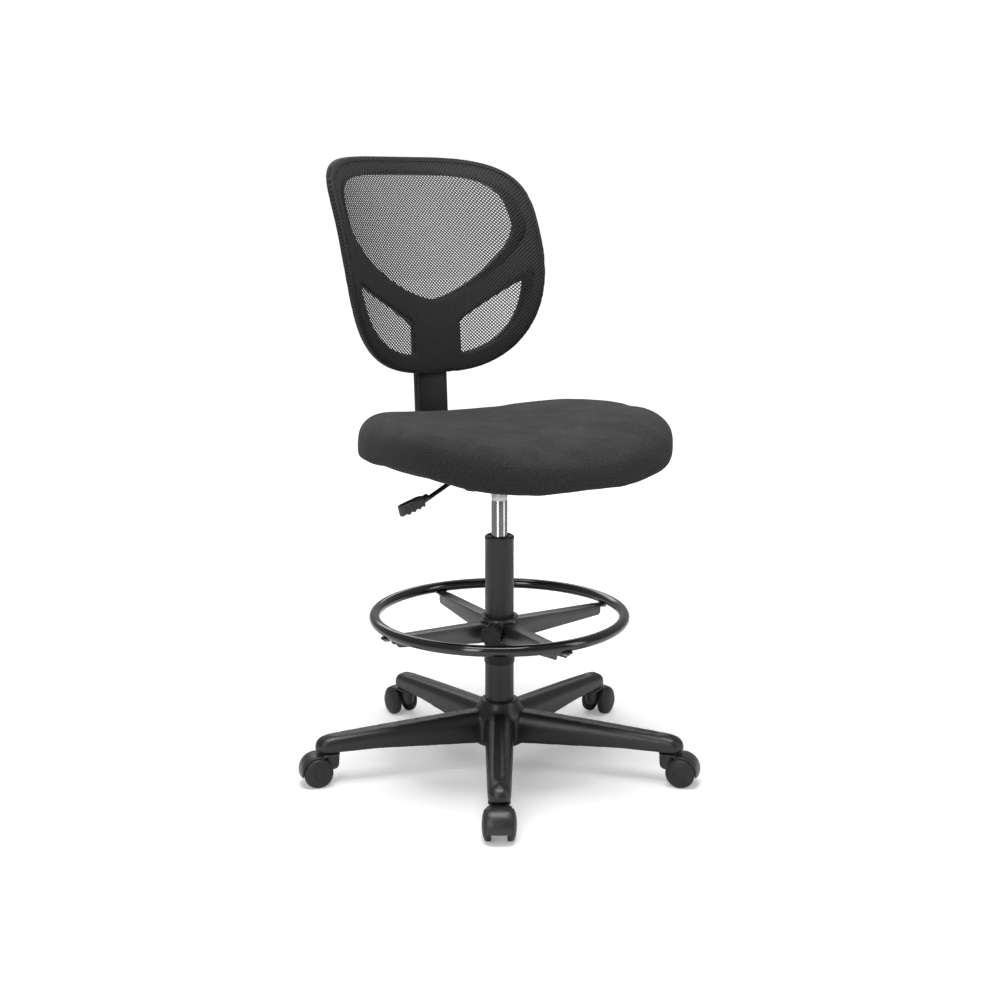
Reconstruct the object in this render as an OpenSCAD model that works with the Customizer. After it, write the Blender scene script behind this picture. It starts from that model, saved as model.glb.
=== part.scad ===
// Drafting chair: five-star base, gas lift, clamped footring, upholstered seat, mesh backrest.
// Millimetres. +Z up, the sitter faces -Y, the origin is on the floor under the column.

/* [Base] */
// Radius from the column to the tip of an arm
base_tip_r = 327; // [300:1:360]
// Radius from the column to a caster stem
stem_r = 303; // [280:1:320]
// Width of an arm at the hub
arm_root_w = 50; // [46:1:54]
// Width of an arm at its tip
arm_tip_w = 37; // [34:1:40]
// Height of the hub's rim above the floor
hub_top = 118; // [112:1:124]

/* [Casters] */
// Diameter of a wheel
wheel_d = 50; // [46:1:51]
// Overall width across the two wheels of a caster
caster_w = 55; // [50:1:58]
// Distance the axle trails behind the stem
trail = 22; // [20:1:23]

/* [Column] */
// Outer diameter of the fixed column
column_d = 50; // [48:1:51]
// Height of the column's mouth above the floor
column_top = 407; // [390:1:420]
// Diameter of the chrome gas cylinder
cylinder_d = 28; // [27:0.5:28]

/* [Footring] */
// Height of the footring's centreline at rest
ring_z = 268; // [240:1:300]
// Outer diameter of the footring
ring_outer_d = 451; // [420:1:480]
// Diameter of the footring's tube
ring_tube_d = 19; // [16:1:20]

/* [Seat] */
// Width of the cushion
seat_w = 516; // [500:2:530]
// Depth of the cushion
seat_d = 432; // [420:2:450]
// How far the cushion's middle sits in front of the column
seat_forward = 54; // [45:1:60]
// Height of the cushion's underside, at the seat board
seat_bottom = 553; // [553:1:556]
// Height of the cushion's top
seat_top = 614; // [605:1:625]
// How far the front edge falls below the rest
front_fall = 37; // [25:1:45]

/* [Backrest] */
// Half the width of the backrest
back_half_w = 204; // [200:1:212]
// Height of the backrest's top edge
back_top = 1059; // [1045:1:1070]
// Height of the backrest's bottom edge
back_bottom = 668; // [664:1:672]
// Thickness of the moulded frame
back_thick = 19; // [17:1:21]
// Radius of the backrest's hollow across the sitter's back at the lumbar
hollow_r = 300; // [280:4:360]
// Radius of the backrest's curve from bottom to top
lean_r = 560; // [520:5:600]

/* [Hidden] */
$fn = 64;

slack = 0.05;                    // radial clearance of a running fit
gap = 0.3;                       // clearance between pieces that pass each other
eps = 0.01;
arms = 5;
arm_start = 240;                 // direction of the first arm, degrees from +X
column_r = column_d / 2;
wheel_r = wheel_d / 2;
stem_pin_r = 5.5;
swivel_pin_r = 4;
axle_r = 3;
web_half = 8;                    // half the thickness of a caster's middle web
hood_r = wheel_r + 4.4;
hood_top = wheel_r + hood_r;
arm_under = hood_top + 2.7;      // underside of an arm at its tip
arm_top = 88;
arm_wall = 4;
rod_r = 5;
piston_z = 300;
cylinder_r = cylinder_d / 2;
bore_r = cylinder_r - 1.5;
cylinder_bottom = 155;
cylinder_top = 524;
taper_start = 478;
taper = 0.0225;                  // radius lost per millimetre along the cone
pin_r = 4;
plate_z = 553;                   // top of the mechanism plate, underside of the seat board
lever_z = 534.5;
lever_r = 4;
lever_turn = 7.9;                // the lever's slant in plan
pivot_x = 45;
ring_r = (ring_outer_d - ring_tube_d) / 2;
sleeve_r = 26.5;
hub_r = 30;
spoke_top = ring_z - ring_tube_d / 2;
knob_dir = 225;
seat_y = -seat_forward;
bar_w = 50;
bar_t = 8;
bar_z = 530;                     // underside of the bar's level part
bar_lean = 3.6;
bend_r = 16;                     // inner radius of the bar's bend
bar_y = 245;                     // front face of the upright part, where the bend ends
bar_start = 50;
bar_run = bar_y - bend_r - bar_start;
sleeve_len = back_bottom - 8 - (bar_z + bar_t + bend_r);
screw_rise = [30, 62, 94];       // the backrest's screws, measured up from the cover's end
knob_y = 84;
board_t = 12;
bolt_x = [-70, 70];
bolt_y = [-80, 80];
mesh_t = 1.2;
mid_y = 255;                     // where the mesh crosses the middle plane halfway up, and its tilt there
mid_z = 861;
mid_tilt = 20;

// Outline of a rounded lobe: each half, above and below the centre, is a superellipse.
function lobe(half_w, up, down, n_up, n_down, steps = 72) = [
    for (i = [0 : steps - 1])
        let (a = 360 * i / steps, c = cos(a), s = sin(a), n = s >= 0 ? n_up : n_down)
        [half_w * sign(c) * pow(abs(c), 2 / n), (s >= 0 ? up : down) * sign(s) * pow(abs(s), 2 / n)]
];

module ring(r_out, r_in, z0, z1) {
    translate([0, 0, z0]) difference() {
        cylinder(h = z1 - z0, r = r_out);
        translate([0, 0, -1]) cylinder(h = z1 - z0 + 2, r = r_in);
    }
}

// ---- Base -------------------------------------------------------------------------------

module arm_plan(inset) {
    tip_w = arm_tip_w / 2 - inset;
    root_w = arm_root_w / 2 - inset;
    tip_x = base_tip_r - arm_tip_w / 2;
    polygon([[0, -root_w], [tip_x, -tip_w], [tip_x, tip_w], [0, root_w]]);
    translate([tip_x, 0]) circle(r = tip_w);
}

module arm_side(drop) {
    low = drop > 0 ? 30 : 0;
    polygon([
        [0, 46 - low], [60, 48 - low], [225, arm_under - low], [base_tip_r, arm_under - low],
        [base_tip_r, arm_top - 8 - drop], [base_tip_r - 14, arm_top - drop], [45, 106 - drop], [0, 108 - drop]
    ]);
}

module arm_body(inset, drop) {
    intersection() {
        linear_extrude(130) arm_plan(inset);
        rotate([90, 0, 0]) translate([0, 0, -50]) linear_extrude(100) arm_side(drop);
    }
}

module base_arm() {
    difference() {
        arm_body(0, 0);
        difference() {
            arm_body(arm_wall, arm_wall);
            for (r = [95, 150, 205, 260])
                translate([r, -50, 0]) cube([3, 100, 130]);
            translate([0, -1.5, 0]) cube([stem_r, 3, 130]);
            translate([stem_r, 0, 0]) cylinder(h = 130, r = 11);
        }
        translate([stem_r, 0, 0]) cylinder(h = 80, r = stem_pin_r + slack);
    }
}

module star_base() {
    color("#1b1b1c") difference() {
        union() {
            for (i = [0 : arms - 1])
                rotate([0, 0, arm_start + i * 360 / arms]) base_arm();
            rotate_extrude() polygon([
                [0, 40], [40, 40], [46, 46], [46, 96], [36, 110], [33, hub_top - 2], [31, hub_top], [0, hub_top]
            ]);
        }
        translate([0, 0, 30]) cylinder(h = 100, r = column_r + 0.02);
    }
}

module column_tube() {
    color("#38393b") rotate_extrude() polygon([
        [rod_r + 1, 42], [column_r, 42], [column_r, column_top], [column_r - 2, column_top],
        [column_r - 2, 45], [rod_r + 1, 45]
    ]);
}

module column_bushing() {
    inner = cylinder_r + slack;
    color("#1d1d1e") rotate_extrude() polygon([
        [inner, 330], [column_r - 2.02, 330], [column_r - 2.02, column_top], [column_r - 1, column_top],
        [column_r - 1, column_top + 2], [column_r - 4, column_top + 2], [column_r - 5, column_top - 1],
        [inner + 2, column_top - 1], [inner, column_top - 3]
    ]);
}

module rubber_buffer() {
    color("#222222") ring(20, rod_r + 1, 45, 53);
}

module thrust_bearing() {
    color("#9a9da0") {
        ring(18, rod_r + 1, 53, 54.5);
        for (i = [0 : 7])
            rotate([0, 0, i * 45]) translate([12, 0, 57]) sphere(r = 2.45);
    }
}

module grip_rings() {
    color("#b0b2b4")
        for (i = [0 : arms - 1]) rotate([0, 0, arm_start + i * 360 / arms]) translate([stem_r, 0, 0])
            difference() {
                ring(stem_pin_r, stem_pin_r - 1, 72, 75);
                translate([0, -1, 70]) cube([10, 2, 10]);
            }
}

// ---- Casters ----------------------------------------------------------------------------
// A caster is drawn with its stem on the Z axis and its wheels trailing towards +X.

module at_caster(i) {
    rotate([0, 0, arm_start + (i - 1) * 360 / arms]) translate([stem_r, 0, 0]) children();
}

module caster_stem(i) {
    color("#a8aaac") at_caster(i) rotate_extrude() polygon([
        [0, 30], [swivel_pin_r, 30], [swivel_pin_r, hood_top + 0.6], [8, hood_top + 0.6],
        [8, arm_under - eps], [stem_pin_r, arm_under - eps], [stem_pin_r, 72], [stem_pin_r - 1, 72],
        [stem_pin_r - 1, 75], [stem_pin_r, 75], [stem_pin_r, 78], [4, 79.5], [0, 79.5]
    ]);
}

module sector(r, from, to) {
    polygon(concat([[0, 0]], [for (i = [0 : 6]) let (a = from + (to - from) * i / 6) r * [cos(a), sin(a)]]));
}

// Turns an outline drawn round the axle, with X outward and Y up, into a solid across the wheels.
module across(half_w) {
    translate([trail, 0, wheel_r]) rotate([90, 0, 0]) translate([0, 0, -half_w])
        linear_extrude(2 * half_w) children();
}

module caster_hood(i) {
    color("#202021") at_caster(i) difference() {
        union() {
            across(caster_w / 2 - 2.5) intersection() {
                difference() {
                    circle(r = hood_r);
                    circle(r = wheel_r + 1.2);
                }
                sector(60, -28, 116);
            }
            across(web_half) intersection() {
                circle(r = hood_r - 0.5);
                sector(60, -28, 140);
            }
            across(web_half) circle(r = 9);
            translate([0, 0, 27]) cylinder(h = hood_top - 27, r = web_half);
            translate([0, 0, wheel_d + 1]) cylinder(h = hood_top - wheel_d - 1, r = 15);
        }
        translate([0, 0, 29]) cylinder(h = 40, r = swivel_pin_r + slack);
        across(30) circle(r = axle_r + 0.01);
    }
}

module caster_axle(i) {
    color("#b4b6b8") at_caster(i) across(caster_w / 2 - 5) circle(r = axle_r);
}

module caster_wheel(i, side) {
    inner = web_half + 0.4;
    outer = caster_w / 2;
    color("#161617") at_caster(i) translate([trail, 0, wheel_r]) rotate([-90 * side, 0, 0]) rotate_extrude()
        polygon([
            [axle_r + slack, inner], [8, inner], [8, inner + 2], [wheel_r - 5, inner + 4], [wheel_r - 4, inner],
            [wheel_r - 1.5, inner], [wheel_r, inner + 1.5], [wheel_r, outer - 4], [wheel_r - 1, outer - 1.8],
            [wheel_r - 3, outer - 0.9], [12, outer], [0, outer], [0, outer - 4], [axle_r + slack, outer - 4]
        ]);
}

// ---- Gas lift ---------------------------------------------------------------------------

module piston_rod() {
    color("#c4c6c8") rotate_extrude() polygon([
        [0, 36], [rod_r, 36], [rod_r, 38.5], [rod_r - 1, 38.5], [rod_r - 1, 40.5], [rod_r, 40.5],
        [rod_r, piston_z], [bore_r - 0.1, piston_z], [bore_r - 0.1, piston_z + 16], [0, piston_z + 16]
    ]);
}

module rod_clip() {
    color("#8d8f91") difference() {
        ring(9, rod_r - 1, 38.5, 40.5);
        translate([0, -3, 38]) cube([12, 6, 4]);
    }
}

module upper_race() {
    color("#9a9da0") ring(18, rod_r, 59.5, 62);
}

module gas_cylinder() {
    tip_r = cylinder_r - (cylinder_top - taper_start) * taper;
    color("#d6d8da") rotate_extrude() polygon([
        [bore_r, cylinder_bottom], [cylinder_r, cylinder_bottom], [cylinder_r, taper_start],
        [tip_r, cylinder_top], [pin_r + slack, cylinder_top], [pin_r + slack, 498], [bore_r, 498]
    ]);
}

module rod_guide() {
    color("#2a2a2b") ring(bore_r - eps, rod_r + slack, cylinder_bottom, cylinder_bottom + 20);
}

module release_pin() {
    color("#c9b037") translate([0, 0, 490]) cylinder(h = lever_z - lever_r - gap - 490, r = pin_r);
}

// ---- Mechanism and lever ----------------------------------------------------------------

module mechanism_plate() {
    half = 85;
    front = -100;
    rear = 112;
    depth = 46;
    sheet = 2.5;
    color("#242425") difference() {
        union() {
            translate([-half, front, plate_z - 3]) cube([2 * half, rear - front, 3]);
            for (x = [-half, half - sheet])
                translate([x, front, plate_z - depth]) cube([sheet, rear - front, depth - 1]);
            translate([-half, front, plate_z - depth]) cube([2 * half, sheet, depth - 1]);
            // receiver for the back bar
            translate([-31, 44, bar_z - 4]) cube([62, rear - 44, plate_z - bar_z + 2]);
            // lugs for the lever's pin
            rotate([0, 0, lever_turn]) for (y = [-9, 6])
                translate([-pivot_x - 5, y, lever_z - 6]) cube([10, 3, plate_z - lever_z + 4]);
        }
        translate([-bar_w / 2 - 0.1, 40, bar_z - 0.1]) cube([bar_w + 0.2, 80, bar_t + 0.2]);
        translate([0, knob_y, bar_z - 10]) cylinder(h = 12, r = 4 + slack);
        cylinder(h = 600, r = 19);
        rotate([0, 0, lever_turn]) {
            translate([-110, -7, lever_z - 22]) cube([40, 14, 32]);
            translate([-pivot_x, 20, lever_z]) rotate([90, 0, 0]) cylinder(h = 40, r = 2 + eps);
        }
        for (x = bolt_x, y = bolt_y)
            translate([x, y, 500]) cylinder(h = 60, r = 3.2);
    }
}

module cone_socket() {
    mouth = 492;
    mouth_r = cylinder_r - (mouth - taper_start) * taper + 0.02;
    end_r = cylinder_r - (cylinder_top - taper_start) * taper + 0.02;
    color("#2b2b2c") difference() {
        rotate_extrude() polygon([
            [mouth_r, mouth], [18, mouth], [18, plate_z - eps], [15, plate_z - eps],
            [15, cylinder_top], [end_r, cylinder_top]
        ]);
        rotate([0, 0, lever_turn]) translate([-30, -6, lever_z - 8]) cube([30, 12, 31]);
    }
}

module lever_pin() {
    color("#a8aaac") rotate([0, 0, lever_turn]) translate([-pivot_x, 9, lever_z]) rotate([90, 0, 0])
        cylinder(h = 18, r = 2);
}

// The lever lies along -X before it is turned in plan: a level rod, a bend and a sloping rod.
module lever_path() {
    rotate([0, 0, lever_turn]) translate([0, 0, lever_z]) children();
}

module lever_rod() {
    bend_x = 60;
    slope = 25;
    knuckle = 0.6;
    color("#5a5c5e") lever_path() difference() {
        union() {
            translate([4, 0, 0]) rotate([0, -90, 0]) cylinder(h = bend_x + 4, r = lever_r);
            translate([-bend_x, 0, 0]) sphere(r = lever_r + knuckle);
            translate([-bend_x, 0, 0]) rotate([0, -90 - slope, 0]) cylinder(h = 95, r = lever_r);
        }
        translate([-pivot_x, 10, 0]) rotate([90, 0, 0]) cylinder(h = 20, r = 2 + slack);
    }
}

module lever_paddle() {
    end_r = 11;
    color("#303133") lever_path() translate([-149, 0, -43]) rotate([0, -16, 0]) difference() {
        translate([0, 0, -8]) linear_extrude(16) {
            translate([-end_r, 0]) circle(r = end_r);
            translate([-72 + end_r, -end_r]) square([72 - 2 * end_r, 2 * end_r]);
            translate([-72 + end_r, 0]) circle(r = end_r);
        }
        // finger scallops
        for (x = [-62 : 13 : -10])
            translate([x, 20, -10]) rotate([90, 0, 0]) cylinder(h = 40, r = 5);
        // seat for the rod
        translate([1, 0, 0.5]) rotate([0, -99, 0]) cylinder(h = 30, r = lever_r + 0.02);
    }
}

// ---- Seat -------------------------------------------------------------------------------

seat_n = 2.7;
module seat_outline(inset) {
    half_w = seat_w / 2 - inset;
    half_d = seat_d / 2 - inset;
    polygon(lobe(half_w, half_d, half_d, seat_n, seat_n));
}

module seat_board() {
    color("#b08d62") difference() {
        translate([0, seat_y, plate_z]) linear_extrude(board_t) seat_outline(36);
        for (x = bolt_x, y = bolt_y)
            translate([x, y, 500]) cylinder(h = 80, r = 4.5);
    }
}

module tee_nuts() {
    color("#a0a2a4") for (x = bolt_x, y = bolt_y) translate([x, y, 0]) {
        ring(4.45, 3.2, plate_z + 1, plate_z + board_t);
        ring(9, 3.2, plate_z + board_t, plate_z + board_t + 1.5);
    }
}

module seat_bolts() {
    color("#2e2e2f") for (x = bolt_x, y = bolt_y) translate([x, y, 0]) {
        translate([0, 0, plate_z - 8]) cylinder(h = 5, r = 6.5);
        translate([0, 0, plate_z - 4]) cylinder(h = 17, r = 3.1);
    }
}

// Cross-sections from the front edge to the rear one, each a rounded bar across the seat.
module seat_cushion() {
    half_d = seat_d / 2;
    mid_z = (seat_top + seat_bottom) / 2;
    color("#3a3b3d") difference() {
        hull() for (t = [-1, -0.97, -0.88, -0.72, -0.5, -0.2, 0.3, 0.6, 0.82, 0.95, 1]) {
            w = seat_w / 2 * pow(1 - pow(min(abs(t), 0.999), seat_n), 1 / seat_n);
            h = (seat_top - seat_bottom) / 2 * pow(1 - pow(min(abs(t), 0.998), 6), 1 / 2);
            fall = front_fall * pow(max(0, -t), 3);
            translate([0, seat_y + t * half_d + 0.1, mid_z - fall]) rotate([90, 0, 0])
                linear_extrude(0.2) polygon(lobe(w, h, h, 4, 4, 48));
        }
        translate([0, seat_y, 500]) linear_extrude(plate_z + board_t + 2 - 500) seat_outline(35.9);
    }
}

// ---- Backrest ---------------------------------------------------------------------------

// Points along the bar's bend, from the level part up to the leaning one.
function bend(r) = [
    for (i = [0 : 8]) let (a = -90 + (90 - bar_lean) * i / 8)
        [bar_start + bar_run + r * cos(a), bar_z + bar_t + bend_r + r * sin(a)]
];

module back_bar() {
    rise = sleeve_len + 116;
    inner = bend(bend_r);
    outer = bend(bend_r + bar_t);
    up = rise * [sin(bar_lean), cos(bar_lean)];
    color("#232324") difference() {
        translate([-bar_w / 2, 0, 0]) rotate([90, 0, 90]) linear_extrude(bar_w) polygon(concat(
            [[bar_start, bar_z]], outer, [outer[8] + up, inner[8] + up],
            [for (i = [8 : -1 : 0]) inner[i]], [[bar_start, bar_z + bar_t]]
        ));
        screw_ways();
    }
}

// Draws in the upright bar's own frame: X across, Y back from its front face, Z along it.
module along_bar() {
    translate([0, bar_start + bar_run, bar_z + bar_t + bend_r]) rotate([-bar_lean, 0, 0]) translate([0, bend_r, 0])
        children();
}

// The three holes that the backrest's screws pass through.
module screw_ways() {
    along_bar() for (z = screw_rise)
        translate([0, -3, sleeve_len + z]) rotate([-90, 0, 0]) cylinder(h = 40, r = 3);
}

module bar_sleeve() {
    color("#1e1e1f") along_bar() difference() {
        translate([-30, -6, 6]) cube([60, bar_t + 12, sleeve_len]);
        translate([-bar_w / 2, 0, 0]) cube([bar_w, bar_t, 200]);
    }
}

// A saddle-shaped shell: hollow across the sitter's back, bulging forward from top to bottom.
module saddle(front, thick) {
    translate([0, mid_y, mid_z]) rotate([-mid_tilt, 0, 0]) translate([0, -hollow_r, 0]) rotate([0, 0, 10])
        rotate_extrude(angle = 160, $fn = 220) intersection() {
            translate([hollow_r + lean_r, 0]) difference() {
                circle(r = lean_r - front, $fn = 220);
                circle(r = lean_r - front - thick, $fn = 220);
            }
            translate([hollow_r - 30, -290]) square([160, 580]);
        }
}

module facing(z) {
    translate([0, 0, z]) rotate([90, 0, 0]) translate([0, 0, -600]) linear_extrude(700) children();
}

outline_z = 925;                 // height of the outline's widest part
module back_outline(inset) {
    polygon(lobe(back_half_w - inset, back_top - outline_z - inset, outline_z - back_bottom - inset, 5, 2.75));
}

module upper_window() {
    polygon(lobe(173, 93, 133, 4, 1.45));
}

// Two windows under the arms of a Y-shaped rib, whose stem is twice stem_half wide.
module lower_windows() {
    stem_half = 47;
    arm_start_z = -165;
    arm_rise = 0.668;
    difference() {
        polygon(lobe(174, 100, 225, 2, 2.9));
        for (side = [-1, 1]) scale([side, 1])
            polygon([[0, arm_start_z - 300], [stem_half, arm_start_z - 300], [stem_half, arm_start_z],
                [240, arm_start_z + (240 - stem_half) * arm_rise], [240, 200], [0, 200]]);
    }
}

module back_frame() {
    color("#1a1a1b") difference() {
        union() {
            intersection() {
                saddle(mesh_t, back_thick);
                facing(outline_z) back_outline(0);
            }
            along_bar() translate([-34, -7, sleeve_len + 10]) cube([68, bar_t + 13, 112]);
        }
        facing(outline_z + 8) upper_window();
        facing(outline_z) lower_windows();
        along_bar() translate([-bar_w / 2, 0, sleeve_len - 60]) cube([bar_w, bar_t, 176]);
        screw_ways();
    }
}

module back_mesh() {
    color("#2a2a2b") intersection() {
        saddle(0, mesh_t);
        facing(outline_z) back_outline(0.5);
    }
}

module back_screws() {
    color("#8f9193") along_bar() for (z = screw_rise) translate([0, 0, sleeve_len + z]) rotate([-90, 0, 0]) {
        translate([0, 0, -3]) cylinder(h = bar_t + 9, r = 3 - eps);
        translate([0, 0, bar_t + 6]) cylinder(h = 4, r = 6);
    }
}

module depth_knob() {
    base_z = 466;
    color("#1f1f20") translate([0, knob_y, 0]) {
        translate([0, 0, base_z + 20]) cylinder(h = bar_z - gap - base_z - 20, r = 4);
        translate([0, 0, base_z]) cylinder(h = 44, r = 9);
        translate([0, 0, base_z]) difference() {
            cylinder(h = 26, r = 20);
            for (i = [0 : 11]) rotate([0, 0, i * 30]) translate([22, 0, -1]) cylinder(h = 30, r = 3.6);
        }
    }
}

// ---- Footring ---------------------------------------------------------------------------

module collar_sleeve() {
    color("#262627") rotate_extrude() polygon([
        [column_r + slack, ring_z - 85], [sleeve_r, ring_z - 85], [sleeve_r, ring_z - 4],
        [sleeve_r + 5.5, ring_z - 4], [sleeve_r + 5.5, ring_z - 1], [column_r + slack, ring_z - 1]
    ]);
}

module ring_hub() {
    color("#2c2d2e") difference() {
        ring(hub_r, sleeve_r + slack, ring_z - 44, ring_z - 4.1);
        translate([0, 0, ring_z - 25]) rotate([0, 90, knob_dir]) cylinder(h = 60, r = 4 + eps);
    }
}

module spoke() {
    end = 207;
    union() {
        translate([hub_r - 1, -11, spoke_top - 2.5]) cube([ring_r + 8 - hub_r, 22, 2.5]);
        for (y = [-11, 9]) translate([0, y + 2, 0]) rotate([90, 0, 0]) linear_extrude(2) {
            polygon([
                [hub_r - 1, spoke_top - 2], [hub_r - 1, spoke_top - 33], [hub_r + 18, spoke_top - 33],
                [end - 12, spoke_top - 17], [end - 12, spoke_top - 2]
            ]);
            translate([end - 12, spoke_top - 14]) square([12, 12]);
            translate([end - 12, spoke_top - 9]) intersection() {
                circle(r = 8);
                translate([-1, -9]) square([14, 9]);
            }
        }
    }
}

module ring_spokes() {
    color("#3a3b3d") difference() {
        for (i = [0 : 3]) rotate([0, 0, i * 90]) spoke();
        cylinder(h = 400, r = hub_r);
        for (i = [0 : 3]) rotate([0, 0, i * 90]) translate([ring_r, 0, 0]) cylinder(h = 400, r = 3);
    }
}

module foot_ring() {
    color("#101011") difference() {
        translate([0, 0, ring_z]) rotate_extrude() translate([ring_r, 0]) circle(d = ring_tube_d);
        ring(ring_r + 12, ring_r - 12, ring_z - ring_tube_d, spoke_top + 0.15);
        for (i = [0 : 3]) rotate([0, 0, i * 90]) translate([ring_r, 0, spoke_top - 1]) cylinder(h = 10, r = 3);
    }
}

module ring_screws() {
    color("#9c9ea0") for (i = [0 : 3]) rotate([0, 0, i * 90]) translate([ring_r, 0, 0]) {
        translate([0, 0, spoke_top - 6]) cylinder(h = 3.5, r = 6);
        translate([0, 0, spoke_top - 4]) cylinder(h = 11, r = 3 - eps);
    }
}

module at_clamp() {
    translate([0, 0, ring_z - 25]) rotate([0, 0, knob_dir]) rotate([0, 90, 0]) children();
}

module clamp_grip() {
    color("#1c1c1d") at_clamp() difference() {
        translate([0, 0, hub_r + 8]) union() {
            cylinder(h = 20, r = 19.5);
            translate([0, 0, -5]) cylinder(h = 5, r = 10);
        }
        for (i = [0 : 7]) rotate([0, 0, i * 45]) translate([23, 0, hub_r + 5]) cylinder(h = 40, r = 6);
        cylinder(h = hub_r + 22, r = 4 + eps);
    }
}

module clamp_stud() {
    color("#a8aaac") at_clamp() translate([0, 0, sleeve_r + gap]) cylinder(h = hub_r + 22 - sleeve_r - gap, r = 4);
}

star_base();
column_tube();
column_bushing();
rubber_buffer();
thrust_bearing();
grip_rings();
for (i = [1 : arms]) {
    caster_stem(i);
    caster_hood(i);
    caster_axle(i);
    caster_wheel(i, 1);
    caster_wheel(i, -1);
}
piston_rod();
rod_clip();
upper_race();
gas_cylinder();
rod_guide();
release_pin();
mechanism_plate();
cone_socket();
lever_pin();
lever_rod();
lever_paddle();
seat_board();
tee_nuts();
seat_bolts();
seat_cushion();
back_bar();
bar_sleeve();
back_frame();
back_mesh();
back_screws();
depth_knob();
collar_sleeve();
ring_hub();
ring_spokes();
foot_ring();
ring_screws();
clamp_grip();
clamp_stud();
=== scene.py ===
# %% [markdown]
# # A drafting chair: the looks round its CAD frame
# The CAD model already says where every part is and how it moves. This lesson gives each part
# the shape a moulder, a turner, an upholsterer or a welder would give it, and a finish to match.
# Everything is in metres and stands where the CAD puts it.

# %% Load the fixed frame
import math
import bpy
import numpy as np
from mathutils import Matrix, Vector


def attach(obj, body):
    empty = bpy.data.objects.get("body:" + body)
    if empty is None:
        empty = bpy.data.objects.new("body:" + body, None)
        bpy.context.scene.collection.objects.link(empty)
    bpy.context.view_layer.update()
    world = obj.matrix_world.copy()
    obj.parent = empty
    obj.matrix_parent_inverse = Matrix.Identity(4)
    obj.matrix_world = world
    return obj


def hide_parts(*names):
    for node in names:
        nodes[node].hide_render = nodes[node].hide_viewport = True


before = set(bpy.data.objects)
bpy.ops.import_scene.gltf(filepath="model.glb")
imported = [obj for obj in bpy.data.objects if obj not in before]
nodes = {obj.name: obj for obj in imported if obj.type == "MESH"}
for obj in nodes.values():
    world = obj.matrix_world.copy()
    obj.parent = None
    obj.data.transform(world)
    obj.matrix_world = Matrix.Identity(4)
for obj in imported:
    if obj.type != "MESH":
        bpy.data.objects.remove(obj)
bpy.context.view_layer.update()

mm = 0.001
arm_angles = [math.radians(240 + 72 * i) for i in range(5)]

# %% [markdown]
# ## The hand tools
# Nearly every part of a chair is made in one of three ways: turned round an axis, cut from a
# flat outline and given thickness, or moulded with soft corners. So there is one helper for
# each way. Each starts from a primitive and then uses the same edit-mode tools that a hand
# would: extrude, spin, merge, bevel.

# %% Select, edit and modify
def pick(piece):
    if bpy.context.mode != "OBJECT":
        bpy.ops.object.mode_set(mode="OBJECT")
    bpy.ops.object.select_all(action="DESELECT")
    if piece is not None:
        piece.select_set(True)
        bpy.context.view_layer.objects.active = piece
    return piece


def edit(piece, kind="VERT"):
    pick(piece)
    bpy.ops.object.mode_set(mode="EDIT")
    bpy.ops.mesh.select_mode(type=kind)
    bpy.ops.mesh.select_all(action="DESELECT")


def leave():
    bpy.ops.object.mode_set(mode="OBJECT")


def settle(piece):
    """Puts the piece's place into its mesh, so its object sits at the origin."""
    pick(piece)
    bpy.ops.object.transform_apply(location=True, rotation=True, scale=True)
    return piece


def modify(piece, kind, **values):
    pick(piece)
    bpy.ops.object.modifier_add(type=kind)
    modifier = piece.modifiers[-1]
    for key, value in values.items():
        setattr(modifier, key, value)
    bpy.ops.object.modifier_apply(modifier=modifier.name)
    return piece


def tidy_faces(piece):
    """Merges doubled points and turns every face outwards."""
    edit(piece)
    bpy.ops.mesh.select_all(action="SELECT")
    bpy.ops.mesh.remove_doubles(threshold=1e-5)
    bpy.ops.mesh.normals_make_consistent(inside=False)
    leave()
    return piece


def select_faces(piece, test):
    """Selects, in edit mode, the faces whose centre and normal pass the test."""
    edit(piece, "FACE")
    leave()
    for face in piece.data.polygons:
        face.select = bool(test(face.center, face.normal))
    bpy.ops.object.mode_set(mode="EDIT")


# %% Draw, turn, cut, join
def draw(name, points, fill=False):
    """Draws a line through points in millimetres, each one extruded from the last."""
    pick(None)
    bpy.ops.mesh.primitive_plane_add(size=0.001, location=Vector(points[0]) * mm)
    piece = bpy.context.object
    piece.name = piece.data.name = name
    bpy.ops.object.mode_set(mode="EDIT")
    bpy.ops.mesh.select_mode(type="VERT")
    bpy.ops.mesh.select_all(action="SELECT")
    bpy.ops.mesh.merge(type="CENTER")
    for a, b in zip(points, points[1:]):
        bpy.ops.mesh.extrude_region_move(TRANSFORM_OT_translate={"value": (Vector(b) - Vector(a)) * mm})
    if fill:
        bpy.ops.mesh.select_all(action="SELECT")
        bpy.ops.mesh.edge_face_add()
    leave()
    return settle(piece)


def turn(name, profile, steps=96, loop=True):
    """Turns a profile of (radius, height) round the Z axis, as on a lathe."""
    points = [(r, 0, z) for r, z in profile]
    piece = draw(name, points + points[:1] if loop else points)
    edit(piece)
    bpy.ops.mesh.select_all(action="SELECT")
    bpy.ops.mesh.spin(steps=steps, angle=2 * math.pi, center=(0, 0, 0), axis=(0, 0, 1))
    leave()
    return tidy_faces(piece)


def remove(piece):
    """Throws a scratch piece away."""
    pick(piece)
    bpy.ops.object.delete()


def cut(name, outline, along):
    """Cuts a flat outline and pushes it through a thickness."""
    piece = draw(name, outline, fill=True)
    edit(piece, "FACE")
    bpy.ops.mesh.select_all(action="SELECT")
    bpy.ops.mesh.extrude_region_move(TRANSFORM_OT_translate={"value": Vector(along) * mm})
    leave()
    return tidy_faces(piece)


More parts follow.
